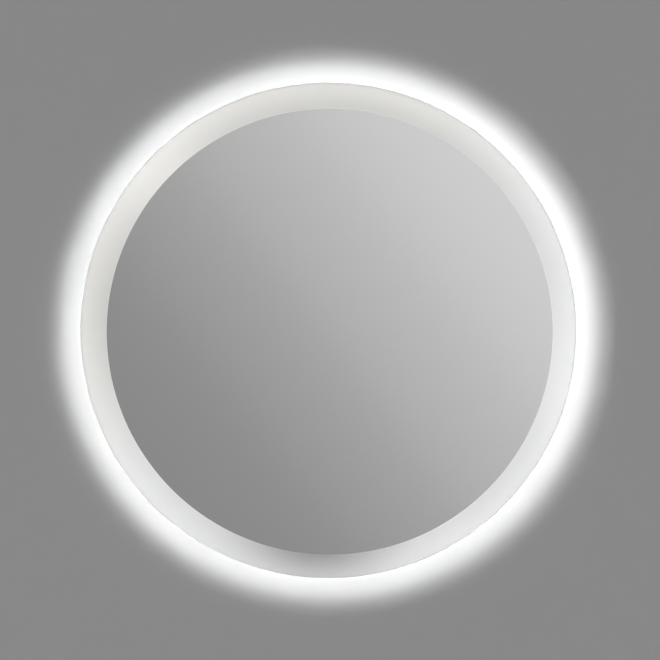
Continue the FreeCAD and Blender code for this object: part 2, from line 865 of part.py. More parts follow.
def make_rails():
    make_wall_rail("wall_rail_upper", s.upper_rail_height)
    make_wall_rail("wall_rail_lower", s.lower_rail_height)
    high, low = tray_screw_heights()
    make_hanger_rail("hanger_rail_upper", s.upper_rail_height, high)
    make_hanger_rail("hanger_rail_lower", s.lower_rail_height, low)

    screw = pan_screw("hanger_screw", s.screw_radius, s.hanger_screw_length,
                      s.screw_head_radius, s.screw_head_height)
    places = hanger_screw_places(s.upper_rail_height) + hanger_screw_places(s.lower_rail_height)
    node(copies("hanger_screw", screw, places), "hanger_screws")

    bumpers = []
    for rail_height in (s.upper_rail_height, s.lower_rail_height):
        middle = rail_height + s.tongue_height + s.rail_sheet - s.hanger_width / 2
        for side in (-1, 1):
            bumpers.append(rod_in(
                "bumper", side * s.bumper_place, (0, hanger_back),
                middle, s.bumper_radius))
    node(group("bumpers", bumpers), "wall_bumpers")


# ---------------------------------------------------------------- tray

def tray_hole(name, x, z, radius):
    return rod_in(name, x, (tray_floor - PAST, s.tray_floor_depth + PAST), z, radius)


def driver_screw_places():
    half = s.driver_length / 2 + s.driver_ear / 2
    return [(driver_centre_across + side * half, s.driver_centre_up) for side in (-1, 1)]


def box_screw_places():
    left = box_left + s.box_screw_inset
    right = box_right - s.box_screw_inset
    return [(left, s.box_bottom + s.box_screw_inset), (right, s.box_top - s.box_screw_inset)]


def make_tray():
    depth = (ring_back, s.tray_floor_depth)
    outer = rounded_block(
        "tray_outer", (tray_left, tray_right), depth, (s.tray_bottom, s.tray_top), s.tray_corner)
    inner_x = (tray_left + s.tray_sheet, tray_right - s.tray_sheet)
    inner_z = (s.tray_bottom + s.tray_sheet, s.tray_top - s.tray_sheet)
    inner = rounded_block(
        "tray_inner", inner_x, (ring_back - PAST, tray_floor), inner_z, s.tray_corner - s.tray_sheet)
    shell = cut("tray_shell", outer, [inner])
    flange_x = (tray_left + s.tray_corner, tray_right - s.tray_corner)
    flange_depth = (ring_back, ring_back + s.tray_sheet)
    upper = block("tray_flange_upper", flange_x, flange_depth,
                  (s.tray_top - s.tray_sheet, s.tray_top + s.tray_flange))
    lower = block("tray_flange_lower", flange_x, flange_depth,
                  (s.tray_bottom - s.tray_flange, s.tray_bottom + s.tray_sheet))
    whole = union("tray_whole", [shell, upper, lower])

    tools = []
    for height in tray_screw_heights():
        for side in (-1, 1):
            thread_depth = (ring_back - PAST, ring_back + s.tray_sheet + PAST)
            x = side * s.tray_screw_place
            tools.append(rod_in("tray_thread", x, thread_depth, height, s.screw_radius))
    tools += [tray_hole("driver_thread", x, z, s.small_screw_radius) for x, z in driver_screw_places()]
    tools += [tray_hole("box_thread", x, z, s.small_screw_radius) for x, z in box_screw_places()]
    tools.append(tray_hole("earth_thread", earth_across, s.earth_up, s.screw_radius))
    wall_x = (tray_left - PAST, tray_left + s.tray_sheet + PAST)
    tools.append(rod_in("tray_lead_hole", wall_x, s.lead_depth, s.driver_centre_up, lead_hole_radius))
    node(cut("tray_cut", whole, tools), "electronics_tray")

    screw = pan_screw("tray_screw", s.screw_radius, s.tray_screw_length,
                      s.screw_head_radius, s.screw_head_height)
    places = [(side * s.tray_screw_place, hanger_back, height)
              for height in tray_screw_heights() for side in (-1, 1)]
    node(copies("tray_screw", screw, places), "tray_screws")

    pads = [rod_in("pad", x, (s.tray_floor_depth, film_back), z, s.pad_radius)
            for x, z in all_four(s.pad_place_across, s.pad_place_up)]
    node(group("pads", pads), "glass_pads")


# ---------------------------------------------------------------- driver

driver_left = driver_centre_across - s.driver_length / 2
driver_right = driver_centre_across + s.driver_length / 2
driver_low = s.driver_centre_up - s.driver_width / 2
driver_high = s.driver_centre_up + s.driver_width / 2
driver_back = tray_floor - s.driver_height
cover_front = driver_back + s.cover_thickness
driver_inside = tray_floor - s.driver_floor
board_front = driver_inside - s.board_lift
board_back = board_front - s.board_thickness


def cover_post_places():
    """Two screw posts, in opposite corners of the driver."""
    inset = s.cover_post_inset
    return [
        (driver_left + inset, driver_high - inset),
        (driver_right - inset, driver_low + inset),
    ]


def make_driver():
    outer_x = (driver_left, driver_right)
    outer_z = (driver_low, driver_high)
    inner_x = (driver_left + s.driver_wall, driver_right - s.driver_wall)
    inner_z = (driver_low + s.driver_wall, driver_high - s.driver_wall)
    inner_corner = s.driver_corner - s.driver_wall
    outer = rounded_block(
        "driver_outer", outer_x, (cover_front, tray_floor), outer_z, s.driver_corner)
    inner = rounded_block(
        "driver_inner", inner_x, (cover_front - PAST, driver_inside), inner_z, inner_corner)
    shell = cut("driver_shell", outer, [inner])
    ear_x = (driver_left - s.driver_ear, driver_right + s.driver_ear)
    ear_z = (s.driver_centre_up - s.driver_ear, s.driver_centre_up + s.driver_ear)
    ear_depth = (tray_floor - s.driver_ear_thickness, tray_floor)
    ears = rounded_block("driver_ears", ear_x, ear_depth, ear_z, s.driver_corner)
    posts = [rod_in("cover_post", x, (cover_front, tray_floor - SUNK), z, s.cover_post_radius)
             for x, z in cover_post_places()]
    rests = [rod_in("board_rest", x, (board_front, tray_floor - SUNK), z, s.board_post_radius)
             for x, z in board_rest_places()]
    whole = union("driver_whole", [shell, ears] + posts + rests)
    tools = [rod_in("ear_hole", x, (ear_depth[0] - PAST, tray_floor + PAST), z,
                    s.small_screw_radius + s.screw_hole_play) for x, z in driver_screw_places()]
    tools += [rod_in("post_thread", x, (cover_front - PAST, cover_front + s.cover_screw_length), z,
                     s.small_screw_radius) for x, z in cover_post_places()]
    right_x = (driver_right - s.driver_wall - PAST, driver_right + PAST)
    left_x = (driver_left - PAST, driver_left + s.driver_wall + PAST)
    tools.append(rod_in("input_hole", right_x, s.lead_depth, s.driver_centre_up,
                        s.input_lead_radius + s.lead_hole_play))
    tools.append(rod_in("output_hole", left_x, s.lead_depth, s.driver_centre_up,
                        s.led_lead_radius + s.lead_hole_play))
    node(cut("driver_base_cut", whole, tools), "driver_base")

    top = rounded_block(
        "cover_top", outer_x, (driver_back, cover_front), outer_z, s.driver_corner)
    gap = s.driver_wall + s.cover_play
    skirt_x = (driver_left + gap, driver_right - gap)
    skirt_z = (driver_low + gap, driver_high - gap)
    skirt_depth = (cover_front - SUNK, cover_front + s.cover_skirt)
    skirt_outer = rounded_block(
        "skirt_outer", skirt_x, skirt_depth, skirt_z, s.driver_corner - gap)
    thin = s.cover_thickness
    hollow_x = (skirt_x[0] + thin, skirt_x[1] - thin)
    hollow_z = (skirt_z[0] + thin, skirt_z[1] - thin)
    hollow_depth = (cover_front - PAST, cover_front + s.cover_skirt + PAST)
    hollow = block("skirt_hollow", hollow_x, hollow_depth, hollow_z)
    skirt = cut("cover_skirt", skirt_outer, [hollow])
    cover = union("cover_whole", [top, skirt])
    clear = [rod_in("post_space", x, (cover_front, cover_front + s.cover_skirt + PAST), z,
                    s.cover_post_radius + s.cover_play) for x, z in cover_post_places()]
    clear += [rod_in("cover_hole", x, (driver_back - PAST, cover_front + PAST), z,
                     s.small_screw_radius + s.screw_hole_play) for x, z in cover_post_places()]
    node(cut("cover_cut", cover, clear), "driver_cover")

    screw = pan_screw("cover_screw", s.small_screw_radius, s.cover_screw_length,
                      s.small_head_radius, s.small_head_height)
    places = [(x, driver_back, z) for x, z in cover_post_places()]
    node(copies("cover_screw", screw, places), "driver_cover_screws")
    screw = pan_screw("driver_screw", s.small_screw_radius, s.driver_screw_length,
                      s.small_head_radius, s.small_head_height)
    places = [(x, ear_depth[0], z) for x, z in driver_screw_places()]
    node(copies("driver_screw", screw, places), "driver_fixing_screws")


def board_rest_places():
    x = s.board_length / 2 - s.board_post_radius * 2
    z = s.board_width / 4
    return [(driver_centre_across + side * x, s.driver_centre_up - side * z) for side in (-1, 1)]


def make_driver_insides():
    middle = driver_centre_across
    height = s.driver_centre_up
    board_x = (middle - s.board_length / 2, middle + s.board_length / 2)
    board_z = (height - s.board_width / 2, height + s.board_width / 2)
    board = block("board_plate", board_x, (board_back, board_front), board_z)
    clear = [rod_in("board_notch", x, (board_back - PAST, board_front + PAST), z,
                    s.cover_post_radius + s.cover_play * 2) for x, z in cover_post_places()]
    node(cut("board_cut", board, clear), "driver_board")

    half_long = s.transformer_length / 2
    half_wide = s.transformer_width / 2
    back = board_back - s.transformer_height
    band = s.core_band / 2
    inset = s.core_rim
    winding = block("winding", (middle - half_long, middle + half_long),
                    (back + s.core_proud, board_back),
                    (height - half_wide + inset, height + half_wide - inset))
    core = block("core", (middle - band, middle + band), (back, board_back - s.core_proud),
                 (height - half_wide, height + half_wide))
    half_rim = half_long - s.core_rim_inset
    rim = block("core_rim", (middle - half_rim, middle + half_rim), (back, back + s.core_rim),
                (height - half_wide, height + half_wide))
    node(union("transformer", [winding, core, rim]), "driver_transformer")

    cans = []
    far = s.capacitor_place
    side = s.capacitor_side
    can_depth = (board_back - s.capacitor_height, board_back)
    for x, z in ((-1 * far, side), (far, -1 * side), (far + s.capacitor_step, side)):
        cans.append(rod_in("can", middle + x, can_depth, height + z, s.capacitor_radius))
    node(group("cans", cans), "driver_capacitors")

    sink_right = middle - half_long - s.sink_gap
    sink_x = (sink_right - s.sink_length, sink_right)
    fins = []
    for number in range(2):
        low = height - half_wide + number * s.sink_spacing
        fins.append(block("fin", sink_x, (board_back - s.sink_height, board_back),
                          (low, low + s.sink_sheet)))
    foot = block("fin_foot", sink_x, (board_back - s.sink_sheet, board_back),
                 (height - half_wide, height - half_wide + s.sink_spacing))
    node(union("heat_sink", fins + [foot]), "driver_heat_sink")


# ---------------------------------------------------------------- terminal box

box_floor = tray_floor - s.box_wall
wire_depth = box_floor - s.wire_rise
lid_back = s.box_rim_depth - s.lid_thickness
hinge_height = s.box_top + s.knuckle_radius + s.knuckle_play
block_back = box_floor - s.block_height
block_low = s.box_bottom + s.block_rise
block_high = block_low + s.block_width
POLES = (-1, 0, 1)


def knuckle_spans():
    """The X spans of the box's and the lid's knuckles, at the left and the right hinge."""
    spans = []
    for side, edge in ((1, box_left + s.knuckle_inset), (-1, box_right - s.knuckle_inset)):
        first = edge + side * s.knuckle_length
        second = first + side * s.knuckle_play
        third = second + side * s.knuckle_length
        box_span = (edge, first) if side > 0 else (first, edge)
        lid_span = (second, third) if side > 0 else (third, second)
        spans.append((box_span, lid_span))
    return spans


def pole_place(pole):
    return block_left + s.block_length / 2 + pole * s.pole_spacing


def make_box():
    outer_x = (box_left, box_right)
    outer_z = (s.box_bottom, s.box_top)
    outer = rounded_block(
        "box_outer", outer_x, (s.box_rim_depth, tray_floor), outer_z, s.box_corner)
    inner_x = (box_left + s.box_wall, box_right - s.box_wall)
    inner_z = (s.box_bottom + s.box_wall, s.box_top - s.box_wall)
    inner = rounded_block("box_inner", inner_x, (s.box_rim_depth - PAST, box_floor), inner_z,
                          s.box_corner - s.box_wall)
    shell = cut("box_shell", outer, [inner])
    knuckles = []
    for box_span, lid_span in knuckle_spans():
        knuckles.append(rod_in("box_knuckle", box_span, s.box_rim_depth, hinge_height, s.knuckle_radius))
        knuckles.append(block("box_knuckle_web", box_span,
                              (s.box_rim_depth + PAST, s.box_rim_depth + s.knuckle_radius),
                              (s.box_top - SUNK, hinge_height)))
    whole = union("box_whole", [shell] + knuckles)
    tools = [rod_in("box_hole", x, (box_floor - PAST, tray_floor + PAST), z,
                    s.small_screw_radius + s.screw_hole_play) for x, z in box_screw_places()]
    wall_z = (s.box_bottom - PAST, s.box_bottom + s.box_wall + PAST)
    tools.append(rod_in("gland_hole", gland_across, s.gland_depth, wall_z,
                        s.gland_thread_radius + s.grommet_play))
    tools.append(rod_in("box_lead_hole", input_lead_across, s.lead_depth, wall_z,
                        s.input_lead_radius + s.grommet_neck))
    wall_x = (box_left - PAST, box_left + s.box_wall + PAST)
    tools.append(rod_in("earth_hole", wall_x, wire_depth, s.earth_up,
                        s.wire_radius + s.lead_hole_play))
    for box_span, lid_span in knuckle_spans():
        tools.append(rod_in("box_pin_hole", (box_span[0] - PAST, box_span[1] + PAST), s.box_rim_depth,
                            hinge_height, s.hinge_pin_radius))
    node(cut("box_cut", whole, tools), "terminal_box")

    screw = pan_screw("box_screw", s.small_screw_radius, s.box_screw_length,
                      s.small_head_radius, s.small_head_height)
    places = [(x, box_floor, z) for x, z in box_screw_places()]
    node(copies("box_screw", screw, places), "terminal_box_screws")


def make_lid():
    lid_z = (s.box_bottom, s.box_top - s.lid_edge_play)
    plate = rounded_block("lid_plate", (box_left, box_right), (lid_back, s.box_rim_depth),
                          lid_z, s.box_corner)
    pieces = [plate]
    holes = []
    pins = []
    for box_span, lid_span in knuckle_spans():
        pieces.append(rod_in("lid_knuckle", lid_span, s.box_rim_depth, hinge_height,
                             s.knuckle_radius))
        pieces.append(block("lid_knuckle_web", lid_span, (lid_back, s.box_rim_depth),
                            (lid_z[1] - SUNK, hinge_height)))
        holes.append(rod_in("lid_pin_hole", (lid_span[0] - PAST, lid_span[1] + PAST), s.box_rim_depth,
                            hinge_height, s.hinge_pin_radius + s.hinge_play))
        low = box_span[0] if value_of(box_span[0]) < value_of(lid_span[0]) else lid_span[0]
        high = box_span[1] if value_of(box_span[1]) > value_of(lid_span[1]) else lid_span[1]
        pins.append(rod_in("pin", (low, high), s.box_rim_depth, hinge_height, s.hinge_pin_radius))
    lip_gap = s.box_wall + s.lid_lip_play
    lip_low = s.box_bottom + lip_gap
    pieces.append(block("lid_lip", (box_left + lip_gap, box_right - lip_gap),
                        (s.box_rim_depth - SUNK, s.box_rim_depth + s.lid_thickness),
                        (lip_low, lip_low + s.lid_thickness)))
    middle = (box_left + box_right) / 2
    thumb_x = (middle - s.thumb_length / 2, middle + s.thumb_length / 2)
    pieces.append(block("lid_thumb", thumb_x, (lid_back, s.box_rim_depth),
                        (s.box_bottom - s.lid_thickness, s.box_bottom + SUNK)))
    node(cut("lid_cut", union("lid_whole", pieces), holes), "terminal_lid")
    node(group("pins", pins), "lid_hinge_pins")


def make_terminal_block():
    left = block_left
    body = block("block_body", (left, left + s.block_length), (block_back, box_floor),
                 (block_low, block_high))
    tools = []
    screws = []
    middle = (block_low + block_high) / 2
    for pole in POLES:
        x = pole_place(pole)
        tools.append(rod_in("wire_hole", x, wire_depth, (block_low - PAST, block_high + PAST),
                            s.wire_radius + s.lead_hole_play))
        for side in (-1, 1):
            z = middle + side * s.clamp_spacing / 2
            tools.append(rod_in("clamp_hole", x, (block_back - PAST, wire_depth), z,
                                s.clamp_hole_radius))
            sunk = block_back + s.clamp_screw_depth
            shank = rod_in("clamp_shank", x, (sunk, wire_depth - s.wire_radius), z,
                           s.clamp_screw_radius)
            half_slot = s.clamp_slot_width / 2
            groove = block("clamp_groove", (x - s.clamp_screw_radius, x + s.clamp_screw_radius),
                           (sunk - PAST, sunk + s.clamp_slot_depth), (z - half_slot, z + half_slot))
            screws.append(cut("clamp_screw", shank, [groove]))
    node(cut("block_cut", body, tools), "terminal_block")
    node(group("clamp_screws", screws), "terminal_block_screws")


# ---------------------------------------------------------------- cable gland

def make_gland():
    x = gland_across
    depth = s.gland_depth
    wall_out = s.box_bottom
    wall_in = s.box_bottom + s.box_wall
    bore = s.gland_cable_radius + s.gland_bore_play
    hex_low = wall_out - s.gland_hex_height
    neck_low = hex_low - s.gland_neck_length
    seal_high = neck_low - s.grommet_play
    seal_low = seal_high - s.seal_length
    cap_high = hex_low - s.grommet_play
    cap_low = cap_high - s.gland_cap_length - s.gland_cap_wall

    nut_high = wall_in + s.gland_nut_height
    thread = rod_in("gland_thread", x, depth, (wall_out - SUNK, nut_high + PAST), s.gland_thread_radius)
    flange = hexagon("gland_hex", x, depth, (hex_low, wall_out), s.gland_hex_radius)
    neck = rod_in("gland_neck", x, depth, (neck_low, hex_low + SUNK), s.gland_neck_radius)
    whole = union("gland_whole", [thread, flange, neck])
    passage = rod_in("gland_passage", x, depth, (neck_low - PAST, nut_high + PAST * 2), bore)
    node(cut("gland_cut", whole, [passage]), "cable_gland_body")

    nut = hexagon("nut_hex", x, depth, (wall_in, nut_high), s.gland_hex_radius)
    hole = rod_in("nut_hole", x, depth, (wall_in - PAST, nut_high + PAST), s.gland_thread_radius)
    node(cut("nut_cut", nut, [hole]), "gland_locknut")

    seal = rod_in("seal_rod", x, depth, (seal_low, seal_high), s.gland_neck_radius)
    seal_hole = rod_in("seal_hole", x, depth, (seal_low - PAST, seal_high + PAST), s.gland_cable_radius)
    node(cut("seal_cut", seal, [seal_hole]), "gland_seal")

    cap_radius = s.gland_neck_radius + s.grommet_play + s.gland_cap_wall
    cap = rod_in("cap_rod", x, depth, (cap_low, cap_high), cap_radius)
    room = rod_in("cap_room", x, depth, (seal_low - s.grommet_play, cap_high + PAST),
                  s.gland_neck_radius + s.grommet_play)
    mouth = rod_in("cap_mouth", x, depth, (cap_low - PAST, cap_high), bore)
    node(cut("cap_cut", cap, [room, mouth]), "gland_cap")


# ---------------------------------------------------------------- leads

ARC_SHARE = 0.45


def soft_path(points, widest_turn):
    """Straight runs through the points, joined by tangent arcs."""
    edges = []
    start = points[0]
    for i in range(1, len(points) - 1):
        into = (points[i] - points[i - 1]).normalize()
        out = (points[i + 1] - points[i]).normalize()
        turn = into.getAngle(out)
        shorter = min((points[i] - points[i - 1]).Length, (points[i + 1] - points[i]).Length)
        radius = min(ARC_SHARE * shorter / math.tan(turn / 2), widest_turn)
        reach = radius * math.tan(turn / 2)
        first = points[i] - into * reach
        last = points[i] + out * reach
        inward = (out - into).normalize()
        centre = points[i] + inward * (radius / math.cos(turn / 2))
        middle = centre - inward * radius
        edges.append(Part.LineSegment(start, first).toShape())
        edges.append(Part.Arc(first, middle, last).toShape())
        start = last
        print("turn radius", round(radius, 1))
    edges.append(Part.LineSegment(start, points[-1]).toShape())
    return Part.Wire(edges)


def make_lead(label, points, radius, widest_turn):
    """A round lead along a route of (x, depth, z) points."""
    spots = [FreeCAD.Vector(value_of(x), -value_of(depth), value_of(z)) for x, depth, z in points]
    path = soft_path(spots, value_of(widest_turn))
    thickness = value_of(radius)
    circle = Part.Circle(spots[0], spots[1] - spots[0], thickness)
    section = Part.Wire([circle.toShape()])
    tube = path.makePipeShell([section], True, False)
    expected = math.pi * thickness ** 2 * path.Length
    print(label, "length", round(path.Length, 1), "volume share", round(tube.Volume / expected, 4))
    lead = fresh("Part::Feature", f"{label}_tube")
    lead.Shape = tube
    lead.Placement = FreeCAD.Placement()
    node(lead, label)


def grommet(name, direction, centre, wall, bore, hole):
    """A rubber ring that lines a hole: direction is "x" or "z", and wall its two faces."""
    x, depth, z = centre
    low = wall[0] - s.grommet_play
    high = wall[1] + s.grommet_play
    rim = hole + s.grommet_rim
    thick = s.grommet_rim_thickness

    def piece(part, span, radius):
        if direction == "x":
            return rod_in(f"{name}_{part}", span, depth, z, radius)
        return rod_in(f"{name}_{part}", x, depth, span, radius)

    neck = piece("neck", (low, high), hole)
    first = piece("first_rim", (low - thick, low), rim)
    second = piece("second_rim", (high, high + thick), rim)
    passage = piece("passage", (low - thick - PAST, high + thick + PAST), bore)
    return cut(name, union(f"{name}_whole", [neck, first, second]), [passage])


def clip(name, x, z, lead_radius, along):
    """A saddle on the tray's floor, with an open groove for a lead."""
    half = s.clip_length / 2
    body_depth = (s.lead_depth - s.wire_radius, tray_floor)
    body = block(f"{name}_body", (x - half, x + half), body_depth, (z - half, z + half))
    reach = (s.lead_depth - lead_radius * 2, s.lead_depth)
    room = lead_radius + s.lead_hole_play
    over = half + PAST
    if along == "x":
        groove = rod_in(f"{name}_groove", (x - over, x + over), s.lead_depth, z, room)
        mouth = block(f"{name}_mouth", (x - over, x + over), reach, (z - room, z + room))
    else:
        groove = rod_in(f"{name}_groove", x, s.lead_depth, (z - over, z + over), room)
        mouth = block(f"{name}_mouth", (x - room, x + room), reach, (z - over, z + over))
    return cut(name, body, [groove, mouth])


def make_leads():
    across = input_lead_across
    sheath_top = s.box_bottom + s.box_wall + s.sheath_reach
    level = s.driver_centre_up
    make_lead("driver_input_lead", [
        (across, s.lead_depth, sheath_top),
        (across, s.lead_depth, level),
        (driver_right - s.driver_wall - s.sheath_reach, s.lead_depth, level),
    ], s.input_lead_radius, s.input_turn)

    for label, pole, side in (("core_live", 0, -1), ("core_neutral", 1, 1)):
        start = across + s.core_spread * side
        entry = pole_place(pole)
        make_lead(label, [
            (start, s.lead_depth, sheath_top),
            (start, s.lead_depth, sheath_top + s.core_reach),
            (entry, wire_depth, block_low - s.core_bend),
            (entry, wire_depth, block_low + s.core_reach),
        ], s.wire_radius, s.led_turn)

    earth = pole_place(-1)
    sleeve_end = earth_across + s.tag_radius + s.tag_neck_length / 2 + s.tag_sleeve_length
    sleeve_depth = tray_floor - s.tag_sleeve_radius
    make_lead("core_earth", [
        (earth, wire_depth, block_low + s.core_reach),
        (earth, wire_depth, s.earth_up),
        (box_left - s.core_bend, wire_depth, s.earth_up),
        (sleeve_end + s.core_bend, sleeve_depth, s.earth_up),
        (sleeve_end - s.tag_grip, sleeve_depth, s.earth_up),
    ], s.wire_radius, s.led_turn)

    web_x = -1 * feed_back
    make_lead("led_lead", [
        (driver_left + s.driver_wall + s.sheath_reach, s.lead_depth, level),
        (tray_left - s.led_lead_start, s.lead_depth, level),
        (tray_left - s.led_lead_start - s.led_lead_shift, strip_middle, 0),
        (web_x, strip_middle, 0),
    ], s.led_lead_radius, s.led_turn)

    bore = s.led_lead_radius
    in_tray = grommet("tray_grommet", "x", (0, s.lead_depth, level),
                      (tray_left, tray_left + s.tray_sheet), bore, lead_hole_radius)
    in_web = grommet("web_grommet", "x", (0, strip_middle, 0),
                     (-1 * s.web_radius, -1 * web_inside), bore, lead_hole_radius)
    in_box = grommet("box_grommet", "z", (across, s.lead_depth, 0),
                     (s.box_bottom, s.box_bottom + s.box_wall), s.input_lead_radius,
                     s.input_lead_radius + s.grommet_neck)
    node(group("grommets", [in_tray, in_web, in_box]), "lead_grommets")

    clips = [
        clip("clip_left", (driver_left - s.driver_ear + tray_left) / 2, level, s.led_lead_radius, "x"),
        clip("clip_right", driver_right + s.driver_ear + s.clip_length, level,
             s.input_lead_radius, "x"),
        clip("clip_down", across, (s.box_bottom + level) / 2 + s.clip_length,
             s.input_lead_radius, "z"),
    ]
    node(group("clips", clips), "lead_clips")


def make_earth_point():
    x = earth_across
    z = s.earth_up
    ring = rod_in("tag_ring", x, (tray_floor - s.tag_thickness, tray_floor), z, s.tag_radius)
    neck_x = (x, x + s.tag_radius + s.tag_neck_length)
    neck = block("tag_neck", neck_x, (tray_floor - s.tag_thickness, tray_floor),
                 (z - s.tag_sleeve_radius, z + s.tag_sleeve_radius))
    start = x + s.tag_radius + s.tag_neck_length / 2
    finish = start + s.tag_sleeve_length
    sleeve = rod_in("tag_sleeve", (start, finish),
                    tray_floor - s.tag_sleeve_radius, z, s.tag_sleeve_radius)
    whole = union("tag_whole", [ring, neck, sleeve])
    hole = rod_in("tag_hole", x, (tray_floor - s.tag_thickness - PAST, tray_floor + PAST), z,
                  screw_hole_radius)
    wire_room = rod_in("tag_wire_room", (finish - s.tag_grip, finish + PAST),
                       tray_floor - s.tag_sleeve_radius, z, s.wire_radius)
    node(cut("tag_cut", whole, [hole, wire_room]), "earth_tag")
    screw = pan_screw("earth_screw_body", s.screw_radius, s.earth_screw_length,
                      s.screw_head_radius, s.screw_head_height)
    node(copies("earth_screw", screw, [(x, tray_floor - s.tag_thickness, z)]), "earth_screw")


# ---------------------------------------------------------------- build, check and write

make_glass()
make_ring()
make_light()
make_rails()
make_tray()
make_driver()
make_driver_insides()
make_box()
make_lid()
make_terminal_block()
make_gland()
make_leads()
make_earth_point()

doc.recompute()
for thing in doc.Objects:
    if "Invalid" in thing.State or "Error" in thing.State:
        raise ValueError(f"{thing.Name} failed: {thing.State}")
labels = [thing.Label for thing in NODES]
if len(set(labels)) != len(labels):
    raise ValueError("two nodes share a name")
for thing in NODES:
    if thing.Shape.isNull() or not thing.Shape.isValid() or not thing.Shape.Solids:
        raise ValueError(f"{thing.Label} has no valid solid")

os.makedirs("parts", exist_ok=True)
for thing in NODES:
    thing.Shape.exportStep(f"parts/{thing.Label}.step")
print(len(NODES), "nodes written")
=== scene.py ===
import json
import math

import bmesh
import bpy
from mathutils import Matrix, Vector

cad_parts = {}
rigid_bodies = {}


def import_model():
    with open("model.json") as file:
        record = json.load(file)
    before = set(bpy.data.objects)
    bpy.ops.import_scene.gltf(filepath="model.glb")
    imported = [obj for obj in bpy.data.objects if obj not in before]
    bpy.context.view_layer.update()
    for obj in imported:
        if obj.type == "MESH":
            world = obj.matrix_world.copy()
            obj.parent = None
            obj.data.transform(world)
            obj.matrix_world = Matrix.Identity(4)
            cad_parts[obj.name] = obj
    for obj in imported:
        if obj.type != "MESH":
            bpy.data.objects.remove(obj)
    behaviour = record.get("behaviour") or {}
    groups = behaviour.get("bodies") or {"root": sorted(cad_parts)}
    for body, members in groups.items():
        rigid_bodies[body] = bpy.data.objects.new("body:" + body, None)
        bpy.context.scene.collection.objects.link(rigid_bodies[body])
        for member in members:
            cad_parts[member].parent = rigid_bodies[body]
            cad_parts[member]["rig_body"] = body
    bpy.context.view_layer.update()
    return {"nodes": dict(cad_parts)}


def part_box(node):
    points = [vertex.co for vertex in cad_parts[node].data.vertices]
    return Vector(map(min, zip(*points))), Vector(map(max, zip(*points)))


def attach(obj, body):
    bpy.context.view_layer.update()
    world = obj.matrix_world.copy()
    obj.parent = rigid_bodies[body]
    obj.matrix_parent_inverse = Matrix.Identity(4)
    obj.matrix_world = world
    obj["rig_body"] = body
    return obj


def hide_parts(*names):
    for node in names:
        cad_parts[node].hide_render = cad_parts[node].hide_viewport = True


# The looks of a round mirror that glows on the wall behind it: its finishes, its turned and eased
# meshes, and the wall, lights and camera that it is seen with. Lengths are in metres. X runs to
# the right, Z up, the wall is the plane Y = 0, and a depth is a distance from the wall, so -Y.

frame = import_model()
cad_nodes = frame["nodes"]

MM = 0.001

# what the frame says
glass_low, glass_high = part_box("mirror_glass")
GLASS_RADIUS = glass_high.x
GLASS_FRONT = -glass_low.y
GLASS_BACK = -glass_high.y
SILVER_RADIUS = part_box("silver_layer")[1].x
SATIN_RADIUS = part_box("satin_layer")[1].x
COAT_BACK = -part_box("silver_layer")[1].y

# the photograph's frame, in its own pixels
PICTURE_WIDTH = 660.0
DISC_CENTRE = (328.4, 330.4)
DISC_RADIUS = 248.0
SILVER_CENTRE = (329.7, 331.7)
METRES_PER_PIXEL = GLASS_RADIUS / DISC_RADIUS

# the silvering sits a little off the disc's centre, as photographed
SILVER_SHIFT = (
    (SILVER_CENTRE[0] - DISC_CENTRE[0]) * METRES_PER_PIXEL,
    (DISC_CENTRE[1] - SILVER_CENTRE[1]) * METRES_PER_PIXEL,
)

# the camera, and the card whose soft shade the mirror shows
CAMERA_DISTANCE = 6.0
SENSOR_WIDTH = 36.0
VIEW_LIMIT = 100.0
CARD_DISTANCE = 8.0
CARD_SIZE = 5.0
CARD_ANGLE = 38.0

# light
WALL_SHADE = 0.246
SKY_LIGHT = 0.45
FRONT_LIGHT = 1.67
BACK_LIGHT = 2.6
LAMP_SPREAD = 50.0
FRONT_AIM = (0.1, 1.0, -0.2)
BACK_AIM = (0.35, -1.0, -0.45)

# the glow on the wall: its strength all round, and what changes it where the diffuser is
# nearest the wall, as one lobe round the mirror (gain) and as two opposite ones (fold);
# angles in degrees from +X, and the depth and reach of the change in millimetres
GLOW_STRENGTH = 130.0
GLOW_GAIN = 130.0
GLOW_GAIN_ANGLE = 8.0
GLOW_FOLD = 40.0
GLOW_FOLD_ANGLE = 30.0
GLOW_EDGE_DEPTH = 22.0
GLOW_EDGE_REACH = 1.7
GLOW_CLEARANCE = 0.05 * MM


# ---------------------------------------------------------------- helpers for finishes

class Nodes:
    """Short calls that make a tree of shader nodes."""

    def __init__(self, tree):
        self.tree = tree

    def join(self, value, socket):
        """Links a node's output to a socket, or sets the socket's own value."""
        if isinstance(value, bpy.types.NodeSocket):
            self.tree.links.new(value, socket)
        else:
            socket.default_value = value

    def node(self, kind, inputs, **settings):
        made = self.tree.nodes.new(f"ShaderNode{kind}")
        for name, value in settings.items():
            setattr(made, name, value)
        for name, value in inputs.items():
            self.join(value, made.inputs[name])
        return made

    def math(self, operation, *values):
        return self.node("Math", dict(enumerate(values)), operation=operation).outputs[0]

    def ramp(self, factor, stops, interpolation="LINEAR"):
        """A colour from a factor, with stops of (place, colour)."""
        made = self.node("ValToRGB", {"Fac": factor})
        made.color_ramp.interpolation = interpolation
        points = made.color_ramp.elements
        while len(points) < len(stops):
            points.new(0.5)
        for point, (place, colour) in zip(points, stops):
            point.position = place
            point.color = (*colour, 1.0)
        return made.outputs["Color"]

    def blend(self, factor, first, second):
        """The first shader where the factor is 0, and the second where it is 1."""
        return self.node("MixShader", {0: factor, 1: first, 2: second}).outputs[0]


# where a Mix node has its colours
MIX_FACTOR = 0
MIX_FIRST = 6
MIX_SECOND = 7
MIX_RESULT = 2


